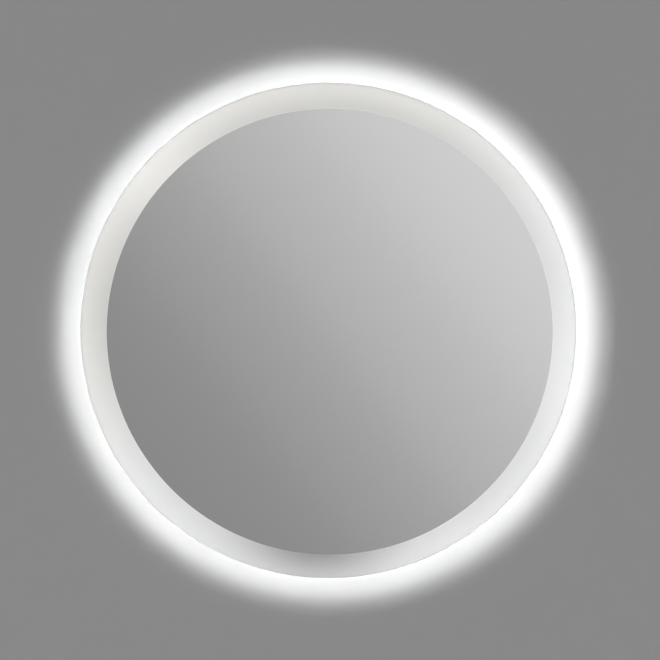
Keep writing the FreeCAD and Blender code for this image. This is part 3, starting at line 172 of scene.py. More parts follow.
class Finish(Nodes):
    """One material of the mirror, with short calls for its looks."""

    def __init__(self, name, colour, roughness, **more):
        self.material = bpy.data.materials.new(name)
        self.material.use_nodes = True
        super().__init__(self.material.node_tree)
        self.shader = self.tree.nodes["Principled BSDF"]
        self.put("Base Color", (*colour, 1.0))
        self.put("Roughness", roughness)
        for socket, value in more.items():
            self.put(socket.replace("_", " "), value)
        self.place = self.node("TexCoord", {}).outputs["Object"]

    def put(self, socket, value):
        self.join(value, self.shader.inputs[socket])

    def axes(self):
        """The three parts of a point's place."""
        return self.node("SeparateXYZ", {"Vector": self.place}).outputs

    def around(self, centre=(0.0, 0.0)):
        """A point's angle about the mirror's axis, in radians from +X, and its distance from it."""
        x, _, z = self.axes()
        if any(centre):
            x = self.math("SUBTRACT", x, centre[0])
            z = self.math("SUBTRACT", z, centre[1])
        across = self.math("MULTIPLY", x, x)
        reach = self.math("SQRT", self.math("MULTIPLY_ADD", z, z, across))
        return self.math("ARCTAN2", z, x), reach

    def facing(self):
        """How far the surface faces the wall, from -1 to 1."""
        normal = self.node("NewGeometry", {}).outputs["Normal"]
        return self.node("SeparateXYZ", {"Vector": normal}).outputs["Y"]

    def stretched(self, x, y, z):
        """A point's place, drawn out by a factor along each axis."""
        made = self.node("VectorMath", {0: self.place, 1: (x, y, z)}, operation="MULTIPLY")
        return made.outputs[0]

    def noise(self, size, detail=3.0, where=None):
        """Soft noise from 0 to 1, whose blots are about that size."""
        inputs = {"Vector": where or self.place, "Scale": 1 / size, "Detail": detail}
        return self.node("TexNoise", inputs).outputs["Fac"]

    def between(self, factor, low, high):
        """Turns 0 to 1 into low to high."""
        return self.math("MULTIPLY_ADD", factor, high - low, low)

    def mottle(self, factor, first, second):
        """Sets the base colour between two colours."""
        self.put("Base Color", self.ramp(factor, [(0.25, first), (0.75, second)]))

    def parted(self, factor, first, second):
        """Sets the base colour to one of two, by a factor of 0 or 1."""
        inputs = {MIX_FACTOR: factor, MIX_FIRST: first, MIX_SECOND: second}
        made = self.node("Mix", inputs, data_type="RGBA")
        self.put("Base Color", made.outputs[MIX_RESULT])

    def relief(self, height, depth):
        """Sets the surface's relief, its depth in metres."""
        made = self.node("Bump", {"Height": height, "Distance": depth, "Strength": 1.0})
        self.put("Normal", made.outputs["Normal"])


def shaded(colour, factor):
    """A colour, darker or lighter by a factor."""
    return tuple(min(1.0, part * factor) for part in colour)


def greys(stops):
    """A ramp's stops from (place, light)."""
    return [(place, (light, light, light)) for place, light in stops]


def empty_material(name):
    """A material without nodes, and the calls to make them."""
    material = bpy.data.materials.new(name)
    material.use_nodes = True
    material.node_tree.nodes.clear()
    return material, Nodes(material.node_tree)


# ---------------------------------------------------------------- finishes

def clear_glass():
    """Float glass, a little green in its depth."""
    finish = Finish("float_glass", (1.0, 1.0, 1.0), 0.0, IOR=1.52, Transmission_Weight=1.0)
    inside = finish.node("VolumeAbsorption", {"Color": (0.62, 0.9, 0.78, 1.0), "Density": 3.0})
    output = finish.tree.nodes["Material Output"]
    finish.tree.links.new(inside.outputs["Volume"], output.inputs["Volume"])
    return finish.material


def ground_edge():
    """The wheel-ground rim of the glass: fine lines round it, pale and a little green."""
    finish = Finish("ground_glass_edge", (0.81, 0.84, 0.825), 0.42, IOR=1.52)
    lines = finish.noise(0.25 * MM, 2.0, finish.stretched(0.02, 1.0, 0.02))
    finish.mottle(lines, (0.76, 0.79, 0.775), (0.86, 0.89, 0.875))
    finish.put("Roughness", finish.between(lines, 0.34, 0.5))
    finish.relief(lines, 0.02 * MM)
    return finish.material


def silvering():
    """The silver seen through the glass."""
    return Finish("silver_coat", (0.972, 0.964, 0.967), 0.0, Metallic=1.0).material


def backing_paint():
    """The grey paint that seals the back of the silver."""
    finish = Finish("backing_paint", (0.34, 0.36, 0.37), 0.55)
    blots = finish.noise(12 * MM)
    finish.mottle(blots, (0.31, 0.33, 0.34), (0.37, 0.39, 0.4))
    finish.relief(finish.noise(0.8 * MM), 0.03 * MM)
    return finish.material


# The etched band's light is painted as emission: an even level, lobes of painted reflection and
# shade round it, a painted glow paler at the rim, and a painted highlight at its inner edge.
SATIN_LEVEL = 0.66
SATIN_PAINTED_LOBES = (
    # angle from +X in degrees, how narrow the lobe is, and how much painted light it adds: painted
    # reflection of the room, or painted shade where below nought
    (-94, 35, -0.38),
    (90, 5, -0.13),
    (174, 22, -0.13),
    (137, 86, 0.11),
    (-11, 43, 0.08),
    (-63, 67, 0.03),
    (160, 1, 0.06),
)
SATIN_BODY = 0.3
SATIN_GAIN = 1.09
SATIN_LOSS = 0.21
# how much paler the band is painted towards the rim, as painted glow from the wall behind
SATIN_RIM_GAIN = 0.4
SATIN_WARM_ANGLE = 125.0
SATIN_TINTS = (
    # place from the cool side to the warm one, and the colour of the light there
    (0.45, (1.0, 1.0, 1.0)),
    (0.8, (1.01, 0.99, 0.94)),
)
# a painted highlight along the band's inner edge, by the silver: its width and brightness
SATIN_HIGHLIGHT_WIDTH = 1.6 * MM
SATIN_HIGHLIGHT_GAIN = 0.07


def band_painted_light(finish, angle, reach):
    """How much light the etched band shows, from 0 to about 1: painted reflections and shade in
    lobes round it, paler towards the rim as painted glow from the wall, and a painted highlight
    along its inner edge.
    """
    light = SATIN_LEVEL
    for middle, sharpness, amount in SATIN_PAINTED_LOBES:
        turn = finish.math("COSINE", finish.math("SUBTRACT", angle, math.radians(middle)))
        lobe = finish.math("POWER", finish.between(turn, 0.5, 1.0), sharpness)
        light = finish.math("MULTIPLY_ADD", lobe, amount, light)
    outward = finish.node("MapRange", {
        "Value": reach, "From Min": SILVER_RADIUS, "From Max": GLASS_RADIUS})
    share = finish.between(outward.outputs["Result"], 1.0, 1.0 - SATIN_RIM_GAIN)
    missing = finish.math("MULTIPLY", finish.math("SUBTRACT", 1.0, light), share)
    light = finish.math("SUBTRACT", 1.0, missing)
    # the painted highlight, brightest at the silver's edge and fading outwards
    inner = finish.around(SILVER_SHIFT)[1]
    line = finish.node("MapRange", {
        "Value": inner, "From Min": SILVER_RADIUS, "From Max": SILVER_RADIUS + SATIN_HIGHLIGHT_WIDTH,
        "To Min": SATIN_HIGHLIGHT_GAIN, "To Max": 0.0})
    return finish.math("ADD", light, line.outputs["Result"])


def satin():
    """The etched band glows by emission: partly light from behind it, partly painted reflections and
    shade of the room, uneven round it and paler at the rim.
    """
    finish = Finish("satin_band", (SATIN_BODY, SATIN_BODY, SATIN_BODY), 0.6)
    angle, reach = finish.around()
    grain = finish.noise(0.6 * MM)
    light = band_painted_light(finish, angle, reach)
    light = finish.math("MULTIPLY", light, finish.between(grain, 0.97, 1.03))
    finish.put("Emission Strength", finish.math("MULTIPLY_ADD", light, SATIN_GAIN, -SATIN_LOSS))
    warm = finish.math("COSINE", finish.math("SUBTRACT", angle, math.radians(SATIN_WARM_ANGLE)))
    tint = finish.ramp(finish.between(warm, 0.5, 1.0), SATIN_TINTS)
    finish.put("Emission Color", tint)
    finish.relief(grain, 0.02 * MM)
    return finish.material


THREAD_PITCH = 1.8 * MM
CREASE_STRETCH = (60.0, 1.0, 9.0)


def safety_film():
    """A woven reinforcing film, stuck over the paint."""
    finish = Finish("safety_film", (0.72, 0.74, 0.76), 0.38)
    x, _, z = finish.axes()
    warp = finish.math("SINE", finish.math("MULTIPLY", x, 2 * math.pi / THREAD_PITCH))
    weft = finish.math("SINE", finish.math("MULTIPLY", z, 2 * math.pi / THREAD_PITCH))
    thread = finish.math("MAXIMUM", warp, weft)
    blots = finish.noise(40 * MM)
    weave = finish.between(thread, 0.5, 1.0)
    shade = finish.math("MULTIPLY", weave, finish.between(blots, 0.75, 1.0))
    creases = finish.noise(1.0, 2.0, finish.stretched(*CREASE_STRETCH))
    folded = finish.math("ABSOLUTE", finish.math("SUBTRACT", creases, 0.5))
    crease = finish.math("SMOOTH_MIN", finish.math("MULTIPLY", folded, 30.0), 1.0, 0.2)
    finish.mottle(shade, (0.6, 0.62, 0.64), (0.78, 0.8, 0.82))
    finish.put("Roughness", finish.between(blots, 0.3, 0.5))
    finish.relief(finish.math("MULTIPLY_ADD", crease, 1.5, weave), 0.05 * MM)
    return finish.material


def foam(name, colour, cell):
    """Closed-cell foam, with painted shade in its cells' hollows: the colour is darker where the
    relief is low.
    """
    finish = Finish(name, colour, 0.9)
    cells = finish.node("TexVoronoi", {"Vector": finish.place, "Scale": 1 / cell})
    depth = cells.outputs["Distance"]
    # painted shade: darker in each cell's hollow, lighter on its raised rim
    finish.mottle(depth, shaded(colour, 0.7), shaded(colour, 1.25))
    finish.relief(depth, 0.3 * cell)
    return finish.material


LINE_DRIFT = 4 * MM


def rolled_aluminium():
    """An anodised section whose drawing lines run round the mirror."""
    finish = Finish("rolled_aluminium", (0.8, 0.81, 0.82), 0.32, Metallic=1.0, Anisotropic=0.4)
    angle, reach = finish.around()
    depth = finish.axes()[1]
    along = finish.math("MULTIPLY", finish.math("COSINE", angle), LINE_DRIFT)
    where = finish.node("CombineXYZ", {"X": reach, "Y": depth, "Z": along}).outputs["Vector"]
    lines = finish.noise(0.25 * MM, 4.0, where)
    blots = finish.noise(30 * MM)
    tone = finish.math("MULTIPLY_ADD", lines, 0.6, finish.math("MULTIPLY", blots, 0.4))
    finish.mottle(tone, (0.6, 0.61, 0.62), (0.74, 0.75, 0.76))
    finish.put("Roughness", finish.between(tone, 0.26, 0.46))
    finish.relief(lines, 0.015 * MM)
    return finish.material


def brushed_metal(name, colour, roughness, draw):
    """Metal with fine lines, drawn out by a factor along each axis."""
    finish = Finish(name, colour, roughness, Metallic=1.0, Anisotropic=0.3)
    lines = finish.noise(0.3 * MM, 3.0, finish.stretched(*draw))
    blots = finish.noise(18 * MM)
    tone = finish.math("MULTIPLY_ADD", lines, 0.5, finish.math("MULTIPLY", blots, 0.5))
    finish.mottle(tone, shaded(colour, 0.86), shaded(colour, 1.1))
    finish.put("Roughness", finish.between(tone, roughness - 0.1, roughness + 0.14))
    finish.relief(lines, 0.012 * MM)
    return finish.material


SPANGLE_SIZE = 5 * MM
SPANGLE_BEND = 6 * MM
SPANGLE_BEND_SCALE = 60.0


def galvanised():
    """Hot-dip zinc, with its spangle."""
    finish = Finish("galvanised_steel", (0.66, 0.68, 0.69), 0.42, Metallic=1.0)
    warp = finish.node("TexNoise", {
        "Vector": finish.place, "Scale": SPANGLE_BEND_SCALE, "Detail": 2.0})
    bend = (SPANGLE_BEND, SPANGLE_BEND, SPANGLE_BEND)
    bent = finish.node(
        "VectorMath", {0: warp.outputs["Color"], 1: bend, 2: finish.place},
        operation="MULTIPLY_ADD")
    crystals = finish.node("TexVoronoi", {"Vector": bent.outputs[0], "Scale": 1 / SPANGLE_SIZE})
    face = finish.node("SeparateColor", {"Color": crystals.outputs["Color"]}).outputs["Red"]
    streaks = finish.noise(1.2 * MM, 4.0)
    bloom = finish.noise(40 * MM, 2.0)
    tone = finish.math("MULTIPLY_ADD", face, 0.4, finish.math("MULTIPLY", streaks, 0.35))
    tone = finish.math("MULTIPLY_ADD", bloom, 0.25, tone)
    finish.mottle(tone, (0.64, 0.66, 0.67), (0.75, 0.77, 0.78))
    finish.put("Roughness", finish.between(face, 0.36, 0.46))
    finish.relief(tone, 0.02 * MM)
    return finish.material


def zinc_plate():
    """Bright zinc plate on folded sheet, faintly blue and yellow in turn."""
    finish = Finish("zinc_plated_sheet", (0.7, 0.72, 0.73), 0.34, Metallic=1.0)
    clouds = finish.noise(45 * MM, 2.0)
    lines = finish.noise(0.35 * MM, 3.0, finish.stretched(0.03, 1.0, 1.0))
    finish.put("Base Color", finish.ramp(clouds, [
        (0.3, (0.77, 0.79, 0.81)), (0.5, (0.8, 0.81, 0.81)), (0.7, (0.82, 0.81, 0.79))]))
    finish.put("Roughness", finish.between(lines, 0.3, 0.5))
    finish.relief(lines, 0.012 * MM)
    return finish.material


def plastic(name, colour, roughness, grain=0.45 * MM, depth=0.02 * MM, **more):
    """Moulded plastic with a fine texture and a little handling shine."""
    finish = Finish(name, colour, roughness, **more)
    texture = finish.noise(grain, 3.0)
    wear = finish.noise(25 * MM, 2.0)
    finish.mottle(wear, shaded(colour, 0.95), shaded(colour, 1.04))
    finish.put("Roughness", finish.between(wear, roughness - 0.07, roughness + 0.09))
    finish.relief(texture, depth)
    return finish.material


def rubber(name, colour):
    """Moulded rubber with some dust on it."""
    finish = Finish(name, colour, 0.72)
    dust = finish.noise(6 * MM, 4.0)
    finish.mottle(dust, colour, shaded(colour, 1.7))
    finish.put("Roughness", finish.between(dust, 0.6, 0.85))
    finish.relief(finish.noise(0.5 * MM), 0.03 * MM)
    return finish.material


def circuit_board():
    """Green mask over copper tracks."""
    finish = Finish("circuit_board", (0.1, 0.34, 0.18), 0.3, Coat_Weight=0.3)
    tracks = finish.node("TexBrick", {
        "Vector": finish.stretched(1.0, 0.0, 1.0), "Scale": 1 / (9 * MM), "Mortar Size": 0.09,
        "Color1": (0.05, 0.22, 0.1, 1.0), "Color2": (0.06, 0.25, 0.12, 1.0),
        "Mortar": (0.14, 0.42, 0.2, 1.0)})
    finish.put("Base Color", tracks.outputs["Color"])
    finish.relief(tracks.outputs["Fac"], 0.03 * MM)
    return finish.material


def winding():
    """Yellow tape in fine turns, wound round a dark ferrite core; this finish colours only the tape.
    """
    finish = Finish("winding_tape", (0.86, 0.72, 0.22), 0.4)
    turns = finish.noise(0.8 * MM, 2.0, finish.stretched(1.0, 1.0, 0.05))
    finish.mottle(turns, (0.78, 0.62, 0.14), (0.9, 0.77, 0.28))
    finish.relief(turns, 0.05 * MM)
    return finish.material


CAN_END_FACING = 0.7
STRIPE_FACING = 0.8


def capacitor_sleeve():
    """A dark shrink sleeve, and the bare aluminium of the can's end."""
    finish = Finish("capacitor_sleeve", (0.05, 0.07, 0.16), 0.28)
    end = finish.math("GREATER_THAN", finish.facing(), CAN_END_FACING)
    finish.put("Metallic", end)
    tone = finish.noise(0.5 * MM, 2.0)
    sleeve = finish.ramp(tone, [(0.3, (0.04, 0.06, 0.14)), (0.7, (0.06, 0.09, 0.2))])
    finish.parted(end, sleeve, (0.75, 0.76, 0.77, 1.0))
    finish.put("Roughness", finish.between(tone, 0.22, 0.4))
    finish.relief(tone, 0.01 * MM)
    return finish.material


def striped_wire():
    """Green insulation with two yellow stripes along it, one on each flank."""
    finish = Finish("green_yellow_wire", (0.05, 0.32, 0.08), 0.32, Coat_Weight=0.2)
    flank = finish.math("GREATER_THAN", finish.math("ABSOLUTE", finish.facing()), STRIPE_FACING)
    finish.parted(flank, (0.04, 0.3, 0.07, 1.0), (0.86, 0.72, 0.05, 1.0))
    finish.put("Roughness", finish.between(finish.noise(3 * MM), 0.25, 0.42))
    return finish.material


CHIP_COUNT = 96
PAD_BEAT = 0.86


def strip_board():
    """A white flexible board with tinned pads beside each chip."""
    finish = Finish("strip_board", (0.93, 0.93, 0.91), 0.4)
    angle = finish.around()[0]
    beat = finish.math("SINE", finish.math("MULTIPLY", angle, CHIP_COUNT))
    pad = finish.math("GREATER_THAN", beat, PAD_BEAT)
    finish.parted(pad, (0.9, 0.9, 0.87, 1.0), (0.72, 0.7, 0.66, 1.0))
    finish.put("Roughness", finish.between(finish.noise(2 * MM), 0.3, 0.5))
    finish.relief(pad, 0.03 * MM)
    return finish.material


def opal():
    """The opal diffuser, lit from behind: each chip shows as a soft paler patch."""
    finish = Finish("opal_diffuser", (0.88, 0.88, 0.87), 0.4, Coat_Weight=0.15)
    angle = finish.around()[0]
    beat = finish.math("COSINE", finish.math("MULTIPLY", angle, CHIP_COUNT))
    patch = finish.between(beat, 0.5, 0.57)
    haze = finish.noise(3 * MM)
    light = finish.math("MULTIPLY_ADD", haze, 0.05, patch)
    finish.put("Emission Strength", light)
    finish.put("Emission Color", (1.0, 0.985, 0.96, 1.0))
    finish.relief(haze, 0.01 * MM)
    finish.material.cycles.emission_sampling = "NONE"
    return finish.material


def phosphor():
    """The chips' yellow phosphor, seen lit at the strip's free end only."""
    finish = Finish("led_phosphor", (0.95, 0.85, 0.4), 0.45)
    finish.put("Emission Color", (1.0, 0.95, 0.8, 1.0))
    finish.put("Emission Strength", finish.between(finish.noise(1 * MM), 0.8, 1.1))
    finish.material.cycles.emission_sampling = "NONE"
    return finish.material


finishes = {
    "safety_film": safety_film(),
    "foam_tape": foam("foam_tape", (0.16, 0.16, 0.17), 0.5 * MM),
    "ring_aluminium": rolled_aluminium(),
    "rivet_aluminium": brushed_metal("rivet_aluminium", (0.74, 0.74, 0.75), 0.4, (1.0, 1.0, 1.0)),
    "strip_board": strip_board(),
    "led_phosphor": phosphor(),
    "opal_diffuser": opal(),
    "white_nylon": plastic("white_nylon", (0.9, 0.9, 0.88), 0.42),
    "galvanised_steel": galvanised(),
    "tray_steel": zinc_plate(),
    "screw_steel": brushed_metal("bright_zinc_screw", (0.74, 0.74, 0.72), 0.3, (1.0, 1.0, 1.0)),
    "black_rubber": rubber("black_rubber", (0.035, 0.035, 0.035)),
    "grey_foam": foam("grey_foam", (0.3, 0.31, 0.32), 0.9 * MM),
    "driver_plastic": plastic("driver_plastic", (0.86, 0.86, 0.85), 0.46),
    "circuit_board": circuit_board(),
    "winding_tape": winding(),
    "can_sleeve": capacitor_sleeve(),
    "sink_aluminium": brushed_metal("sink_aluminium", (0.68, 0.68, 0.69), 0.38, (0.05, 1.0, 1.0)),
    "box_plastic": plastic("box_plastic", (0.62, 0.63, 0.64), 0.5, 0.7 * MM, 0.04 * MM),
    "terminal_plastic": plastic("terminal_plastic", (0.87, 0.86, 0.8), 0.3),
    "terminal_brass": brushed_metal("terminal_brass", (0.8, 0.62, 0.3), 0.28, (1.0, 1.0, 1.0)),
    "gland_nylon": plastic("gland_nylon", (0.44, 0.46, 0.47), 0.48),
    "white_cable": plastic("white_cable", (0.86, 0.86, 0.84), 0.34, 0.8 * MM, 0.01 * MM),
    "brown_wire": plastic("brown_wire", (0.2, 0.09, 0.04), 0.3, 0.8 * MM, 0.01 * MM),
    "blue_wire": plastic("blue_wire", (0.05, 0.16, 0.5), 0.3, 0.8 * MM, 0.01 * MM),
    "green_yellow_wire": striped_wire(),
    "tinned_copper": brushed_metal("tinned_copper", (0.78, 0.77, 0.73), 0.3, (1.0, 1.0, 1.0)),
}


# ---------------------------------------------------------------- helpers for pieces

def new_piece(name, mesh, body="mirror"):
    """A piece that rides on a body."""
    piece = bpy.data.objects.new(name, mesh)
    bpy.context.scene.collection.objects.link(piece)
    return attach(piece, body)


def finished_mesh(name, shape, materials):
    """Turns a bmesh into a mesh that has the materials."""
    mesh = bpy.data.meshes.new(name)
    shape.to_mesh(mesh)
    shape.free()
    for material in materials:
        mesh.materials.append(material)
    return mesh


TURNS = 360
TURNED_ANGLE = math.radians(25)
DIRECTIONS = [
    (math.cos(2 * math.pi * i / TURNS), math.sin(2 * math.pi * i / TURNS)) for i in range(TURNS)]


def turned(name, outline, materials, shift=(0.0, 0.0), shifted=()):
    """A disc or ring about the mirror's axis, from (radius, depth, material) points.

    The outline runs once round the section, and each point's material covers the wall from it to
    the next one. A radius of nought is the disc's centre. The shifted points' circles have their
    centre off the axis, by the shift.
    """
    shape = bmesh.new()
    rings = []
    for number, (radius, depth, _) in enumerate(outline):
        across, up = shift if number in shifted else (0.0, 0.0)
        directions = DIRECTIONS if radius > 0 else DIRECTIONS[:1]
        rings.append([
            shape.verts.new((across + radius * right, -depth, up + radius * rise))
            for right, rise in directions])
    for number, (ring, (_, _, material)) in enumerate(zip(rings, outline)):
        other = rings[(number + 1) % len(rings)]
        if len(ring) == 1 and len(other) == 1:
            continue
        for i in range(TURNS):
            j = (i + 1) % TURNS
            corners = [
                ring[i % len(ring)], ring[j % len(ring)],
                other[j % len(other)], other[i % len(other)]]
            face = shape.faces.new(list(dict.fromkeys(corners)))
            face.material_index = material
    bmesh.ops.recalc_face_normals(shape, faces=shape.faces)
    mesh = finished_mesh(name, shape, materials)
    mesh.shade_smooth()
    mesh.set_sharp_from_angle(angle=TURNED_ANGLE)
    return new_piece(name, mesh)


# ---------------------------------------------------------------- the glass and its coats

ARRIS = GLASS_RADIUS - SATIN_RADIUS
COAT_CLEARANCE = 0.05 * MM


def make_glass():
    """The glass with its ground rim, and behind it the silver and the etched band."""
    glass = turned("glass_disc", [
        (0.0, GLASS_BACK, 0),
        (GLASS_RADIUS - ARRIS, GLASS_BACK, 1),
        (GLASS_RADIUS, GLASS_BACK + ARRIS, 1),
        (GLASS_RADIUS, GLASS_FRONT - ARRIS, 1),
        (GLASS_RADIUS - ARRIS, GLASS_FRONT, 0),
        (0.0, GLASS_FRONT, 0),
    ], [clear_glass(), ground_edge()])
    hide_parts("mirror_glass")

    front = GLASS_BACK - COAT_CLEARANCE
    back = COAT_BACK + COAT_CLEARANCE
    silver = turned("silver_coat", [
        (0.0, front, 0), (SILVER_RADIUS, front, 1), (SILVER_RADIUS, back, 1), (0.0, back, 1),
    ], [silvering(), backing_paint()], SILVER_SHIFT, (0, 1, 2, 3))
    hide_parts("silver_layer")

    band = turned("satin_coat", [
        (SILVER_RADIUS, front, 0), (SATIN_RADIUS, front, 0), (SATIN_RADIUS, back, 0),
        (SILVER_RADIUS, back, 0),
    ], [satin()], SILVER_SHIFT, (0, 3))
    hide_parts("satin_layer")


make_glass()


# ---------------------------------------------------------------- eased edges

WELD = 0.001 * MM
FLAT_ANGLE = math.radians(0.5)
EASED_ANGLE = math.radians(30)
EASED_STEPS = 2
FLAT_WEIGHT = 100
EASED = {
    # how far each node's edges are rounded
    "driver_cover": 0.8 * MM,
    "driver_base": 0.4 * MM,
    "terminal_box": 0.4 * MM,
    "terminal_lid": 0.4 * MM,
    "terminal_block": 0.25 * MM,
    "electronics_tray": 0.25 * MM,
    "wall_rail_upper": 0.3 * MM,
    "wall_rail_lower": 0.3 * MM,
    "hanger_rail_upper": 0.3 * MM,
    "hanger_rail_lower": 0.3 * MM,
}


def ease(name, reach):
    """Stands for a node with a copy whose sharp edges are a little rounded, as a real part's are."""
    node = cad_nodes[name]
    material = node.data.materials[0]
    shape = bmesh.new()
    shape.from_mesh(node.data)
    bmesh.ops.remove_doubles(shape, verts=shape.verts, dist=WELD)
    bmesh.ops.dissolve_limit(
        shape, angle_limit=FLAT_ANGLE, verts=shape.verts, edges=shape.edges)
    sharp = [
        edge for edge in shape.edges
        if len(edge.link_faces) == 2 and edge.calc_face_angle() > EASED_ANGLE]
    bmesh.ops.bevel(
        shape, geom=sharp, offset=reach, offset_type="WIDTH", segments=EASED_STEPS, profile=0.5,
        affect="EDGES", clamp_overlap=True)
    mesh = finished_mesh(f"{name}_eased", shape, [material])
    mesh.shade_smooth()
    mesh.set_sharp_from_angle(angle=EASED_ANGLE)
    piece = new_piece(f"{name}_eased", mesh, node["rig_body"])
    flatten = piece.modifiers.new("flat_faces", "WEIGHTED_NORMAL")
    flatten.weight = FLAT_WEIGHT
    flatten.keep_sharp = True
    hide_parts(name)
    return piece


eased_pieces = [ease(name, reach) for name, reach in EASED.items()]


# ---------------------------------------------------------------- the driver's blank plate

PLATE_SIZE = (84 * MM, 25 * MM)
PLATE_CORNER = 2 * MM
PLATE_SHEET = 0.15 * MM
CORNER_STEPS = 8


def plate_rim(centre_x, centre_z):
    """The plate's outline, with round corners, as (x, z) points."""
    half_x = PLATE_SIZE[0] / 2 - PLATE_CORNER
    half_z = PLATE_SIZE[1] / 2 - PLATE_CORNER
    rim = []
    for quarter, (side_x, side_z) in enumerate(((1, 1), (-1, 1), (-1, -1), (1, -1))):
        for step in range(CORNER_STEPS + 1):
            turn = math.radians(90) * (quarter + step / CORNER_STEPS)
            rim.append((
                centre_x + side_x * half_x + PLATE_CORNER * math.cos(turn),
                centre_z + side_z * half_z + PLATE_CORNER * math.sin(turn),
            ))
    return rim


def make_plate():
    """A thin blank plate, stuck to the middle of the driver's cover."""
    low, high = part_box("driver_cover")
    rim = plate_rim((low.x + high.x) / 2, (low.z + high.z) / 2)
    shape = bmesh.new()
    under = [shape.verts.new((x, high.y, z)) for x, z in rim]
    over = [shape.verts.new((x, high.y + PLATE_SHEET, z)) for x, z in rim]
    shape.faces.new(under)
    shape.faces.new(reversed(over))
    for i in range(len(rim)):
        j = (i + 1) % len(rim)
        shape.faces.new((under[j], under[i], over[i], over[j]))
    bmesh.ops.recalc_face_normals(shape, faces=shape.faces)
    mesh = finished_mesh("blank_plate", shape, [plastic("plate_foil", (0.74, 0.75, 0.76), 0.3)])
    plate = new_piece("blank_plate", mesh)


make_plate()


def dress(pieces):
    """Gives each piece the finish that is named as its slot."""
    for piece in pieces:
        for number, material in enumerate(piece.data.materials):
            if material.name in finishes:
                piece.data.materials[number] = finishes[material.name]


dress([*cad_nodes.values(), *eased_pieces])


# ---------------------------------------------------------------- wall, floor, sky and card

WALL_SIZE = 4.0
WALL_SETBACK = 0.2 * MM
FLOOR_WIDTH = 8.0
FLOOR_LENGTH = 12.0
FLOOR_HEIGHT = -1.25
FLOOR_SHADE = 0.92
SKY_SHADE = 0.82


def seen_from_front(name, shade, in_gloss):
    """A plain matt colour on a surface that is clear from behind, and perhaps in reflections."""
    material, nodes = empty_material(name)
    matt = nodes.node("BsdfDiffuse", {"Color": (shade, shade, shade, 1.0)})
    clear = nodes.node("BsdfTransparent", {})
    hidden = nodes.node("NewGeometry", {}).outputs["Backfacing"]
    if not in_gloss:
        ray = nodes.node("LightPath", {})
        hidden = nodes.math("MAXIMUM", hidden, ray.outputs["Is Glossy Ray"])
    either = nodes.blend(hidden, matt.outputs["BSDF"], clear.outputs["BSDF"])
    nodes.node("OutputMaterial", {"Surface": either})
    return material


def stage_plane(name, corners, material):
    """A plane that isn't part of the mirror."""
    mesh = bpy.data.meshes.new(name)
    mesh.from_pydata(corners, [], [(0, 1, 2, 3)])
    mesh.materials.append(material)
    plane = bpy.data.objects.new(name, mesh)
    bpy.context.scene.collection.objects.link(plane)
    return plane


def hide(thing, *rays):
    """Keeps a thing out of sight of some kinds of ray."""
    for ray in rays:
        setattr(thing, f"visible_{ray}", False)


def make_room():
    """The wall behind the mirror and the floor below it, both clear from behind."""
    half = WALL_SIZE / 2
    wall = stage_plane("wall", [
        (-half, WALL_SETBACK, FLOOR_HEIGHT), (half, WALL_SETBACK, FLOOR_HEIGHT),
        (half, WALL_SETBACK, half), (-half, WALL_SETBACK, half),
    ], seen_from_front("wall_paint", WALL_SHADE, False))
    hide(wall, "shadow")
    side = FLOOR_WIDTH / 2
    end = FLOOR_LENGTH / 2
    floor = stage_plane("floor", [
        (-side, -end, FLOOR_HEIGHT), (side, -end, FLOOR_HEIGHT),
        (side, end, FLOOR_HEIGHT), (-side, end, FLOOR_HEIGHT),
    ], seen_from_front("pale_floor", FLOOR_SHADE, True))
    hide(floor, "shadow")
    return wall


CARD_STOPS = (
    # share of the mirror's width along the slope, and the light there
    (0.0, 0.26),
    (0.25, 0.31),
    (0.5, 0.42),
    (0.75, 0.545),
    (1.0, 0.65),
)


def card_material(reach):
    """A soft slope of light from dark below on the left to pale above on the right."""
    material, nodes = empty_material("soft_card")
    place = nodes.node("TexCoord", {}).outputs["Object"]
    slope = math.radians(CARD_ANGLE)
    uphill = (math.cos(slope), 0.0, math.sin(slope))
    along = nodes.node("VectorMath", {0: place, 1: uphill}, operation="DOT_PRODUCT")
    share = nodes.node("MapRange", {
        "Value": along.outputs["Value"], "From Min": -reach, "From Max": reach})
    light = nodes.ramp(share.outputs["Result"], greys(CARD_STOPS), "CARDINAL")
    glow = nodes.node("Emission", {"Color": light})
    nodes.node("OutputMaterial", {"Surface": glow.outputs["Emission"]})
    material.cycles.emission_sampling = "NONE"
    return material


def make_card():
    """The pale card behind the camera: only the mirror and what is glossy show it."""
    spread = (CAMERA_DISTANCE + CARD_DISTANCE) / CAMERA_DISTANCE
    half = CARD_SIZE / 2
    card = stage_plane("soft_card", [
        (-half, -CARD_DISTANCE, -half), (half, -CARD_DISTANCE, -half),
        (half, -CARD_DISTANCE, half), (-half, -CARD_DISTANCE, half),
    ], card_material(SILVER_RADIUS * spread))
    hide(card, "camera", "diffuse", "shadow")


SKY_STOPS = (
    # height of the gaze from straight down to straight up, and the light there
    (0.0, 0.3),
    (0.46, 0.42),
    (0.53, 0.78),
    (0.8, 1.0),
    (1.0, 0.85),
)


